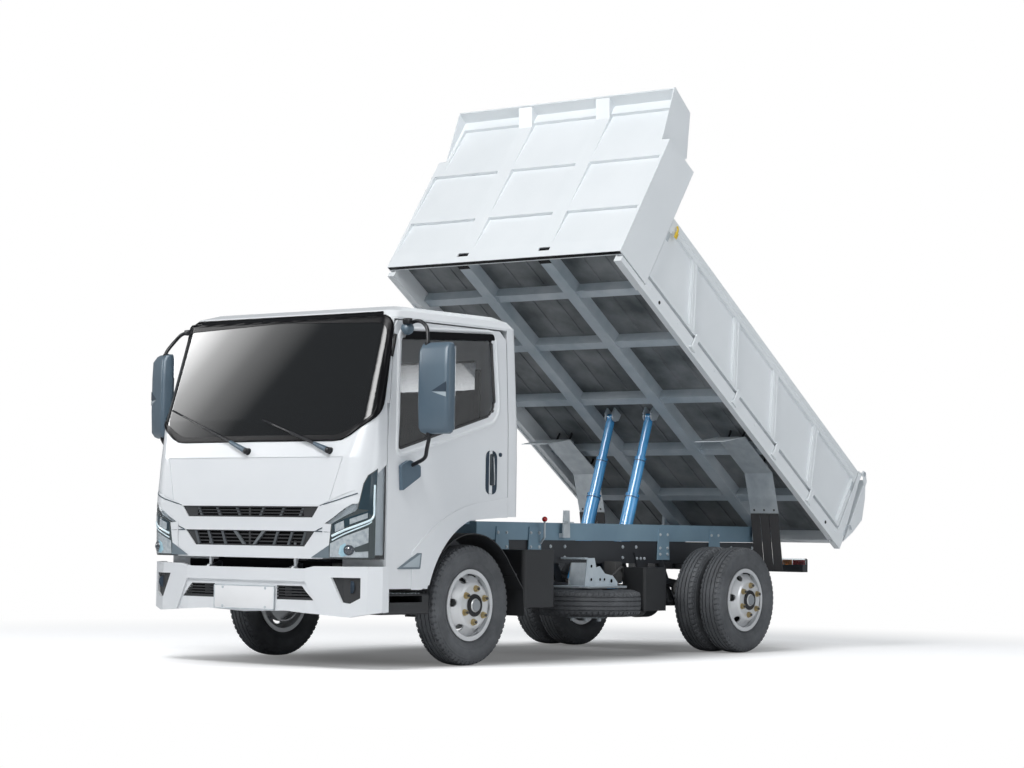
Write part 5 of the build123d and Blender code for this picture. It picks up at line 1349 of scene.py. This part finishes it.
# The darker floor under the truck is painted shade, added to its rendered shadow.
UNDER_SIZE = (1.25, 2.95)        # half width and half length of the darker floor under the truck
UNDER_FADE = (0.55, 1.25)        # shares of that size between which it turns pale
UNDER_PAINTED_SHADE = 0.30               # how dark that floor is, as a share of the rest
FLOOR_HALF = 60.0                # half the floor's width


def floor_material():
    """Pale floor with painted shade under the truck, on top of the soft shadow it keeps, that fades to white
    away from it.
    """
    m = Nodes("pale_floor")
    coords = m.coords()
    camera_ray = m.add("LightPath").outputs["Is Camera Ray"]

    def length(scale):
        stretch = m.add("VectorMath", operation="MULTIPLY")
        stretch.inputs[1].default_value = scale
        m.link(coords, stretch.inputs[0])
        node = m.add("VectorMath", operation="LENGTH")
        m.link(stretch, node.inputs[0])
        return node.outputs["Value"]
    # painted shade: base colour and lift both drop towards the truck's middle
    reach = length((1 / UNDER_SIZE[0], 1 / UNDER_SIZE[1], 0))
    pale = m.spread(reach, UNDER_PAINTED_SHADE, 1.0, UNDER_FADE, "SMOOTHSTEP")
    tint = m.ramp(m.noise(0.4, 2.0), ((0.3, (0.93, 0.93, 0.94)), (0.7, (0.96, 0.96, 0.96))))
    shade = m.add("VectorMath", operation="SCALE")
    m.link(tint, shade.inputs[0])
    m.link(pale, shade.inputs["Scale"])
    m.link(shade, m.shader.inputs["Base Color"])
    m.set(Roughness=0.9)
    lift = m.add("Emission")
    m.link(m.math("MULTIPLY", m.math("MULTIPLY", camera_ray, pale), FLOOR_LIFT), lift.inputs["Strength"])
    mix = m.combine("MixShader", m.combine("AddShader", m.shader, lift), m.add("Emission"))
    far = m.spread(length((1, 1, 1)), 0.0, 1.0, FLOOR_FADE, "SMOOTHSTEP")
    m.link(m.math("MULTIPLY", far, camera_ray), mix.inputs["Fac"])
    m.link(mix, m.out.inputs["Surface"])
    return m.mat


def stage(name, points, mat):
    """Flat piece of the studio around the truck."""
    mesh = bpy.data.meshes.new(name)
    mesh.from_pydata(points, [], [(0, 1, 2, 3)])
    mesh.materials.append(mat)
    obj = placed(name, mesh)
    return obj


CARD_X, CARD_Y, CARD_Z = (-8.5, 4.5), -6.5, (2.9, 7.0)      # upright card in front of the truck
CARD_STOPS = ((0.0, 1.0), (0.152, 1.0), (0.178, 0.58), (0.205, 0.26), (0.245, 0.08), (0.290, 0.0),
              (0.620, 0.0), (0.760, 0.5), (0.900, 0.5), (1.0, 0.0))      # shares of its width, and brightness
CARD_LEAN = 0.35                 # how far its shades move for a metre of height
CARD_LIGHT = 21.0


def card():
    """Bright card whose soft edge the windscreen mirrors; it lights nothing else."""
    (x0, x1), (z0, z1) = CARD_X, CARD_Z
    m = Nodes("card_light")
    m.tree.nodes.remove(m.shader)
    split = m.add("SeparateXYZ")
    m.link(m.coords(), split.inputs[0])
    lean = m.math("MULTIPLY_ADD", split.outputs["Z"], -CARD_LEAN, CARD_LEAN * (z0 + z1) / 2)
    share = m.spread(m.math("ADD", split.outputs["X"], lean), 0.0, 1.0, CARD_X)
    light = m.add("Emission")
    m.link(m.ramp(share, [(place, (v, v, v)) for place, v in CARD_STOPS]), light.inputs["Color"])
    light.inputs["Strength"].default_value = CARD_LIGHT
    m.link(m.combine("AddShader", light, m.add("BsdfTransparent")), m.out.inputs["Surface"])
    obj = stage("card", [(x0, CARD_Y, z0), (x1, CARD_Y, z0), (x1, CARD_Y, z1), (x0, CARD_Y, z1)], m.mat)
    obj.visible_camera = obj.visible_diffuse = obj.visible_shadow = obj.visible_transmission = False


def surroundings():
    """Even light from all round, plain white where the camera sees it directly or through glass."""
    world = bpy.data.worlds.new("studio")
    bpy.context.scene.world = world
    world.use_nodes = True
    tree = world.node_tree
    tree.nodes.clear()

    def add(kind, **values):
        node = tree.nodes.new("ShaderNode" + kind)
        for key, value in values.items():
            setattr(node, key, value)
        return node

    def background(colour, strength):
        node = add("Background")
        node.inputs["Color"].default_value = (*colour, 1)
        node.inputs["Strength"].default_value = strength
        return node
    path, mix = add("LightPath"), add("MixShader")
    direct, through = add("Math", operation="LESS_THAN"), add("Math", operation="MULTIPLY")
    clear = add("Math", operation="MAXIMUM")
    direct.inputs[1].default_value = 0.5
    for source, target in (
            (path.outputs["Diffuse Depth"], direct.inputs[0]),
            (path.outputs["Is Transmission Ray"], through.inputs[0]),
            (direct.outputs[0], through.inputs[1]),
            (path.outputs["Is Camera Ray"], clear.inputs[0]),
            (through.outputs[0], clear.inputs[1]),
            (clear.outputs[0], mix.inputs["Fac"]),
            (background((0.90, 0.95, 1.0), SKY).outputs[0], mix.inputs[1]),
            (background((1, 1, 1), 1.0).outputs[0], mix.inputs[2]),
            (mix.outputs[0], add("OutputWorld").inputs["Surface"])):
        tree.links.new(source, target)


def studio():
    """Pale floor, white surroundings and soft lamps."""
    surroundings()
    r = FLOOR_HALF
    stage("floor", [(-r, -r, 0), (r, -r, 0), (r, r, 0), (-r, r, 0)], floor_material())
    card()
    middle = (0, 0, 1.2)
    lamp("key", (1.8, -8.4, 9.6), middle, (5, 4), 960)
    lamp("side", (9, 1, 4), middle, (5, 5), 170, (0.96, 0.98, 1.0))
    bpy.context.scene.view_settings.view_transform = "Standard"


dress_cad()
wheels()
cab_shape = tree_of("cab_glass", "cab_front_panel")
cab_glazing(cab_shape)
screen_shade()
cab_front(cab_shape)
pillar_slots(cab_shape)
headlamps(tree_of("headlamps", "cab_front_panel"))
door_details(tree_of("door_left", "door_glass_left"))
mirror("left", False, 0.0)
mirror("right", True, FAR_TURN)
bumper_details()
seats()
cabin_fittings()
frame_bolts()
axle_fittings()
frame_fittings()
carrier_details()
rear_fittings()
bed_fittings()
board_fittings()
underfloor()
guard_fittings()
cylinder_fittings()
studio()
camera()
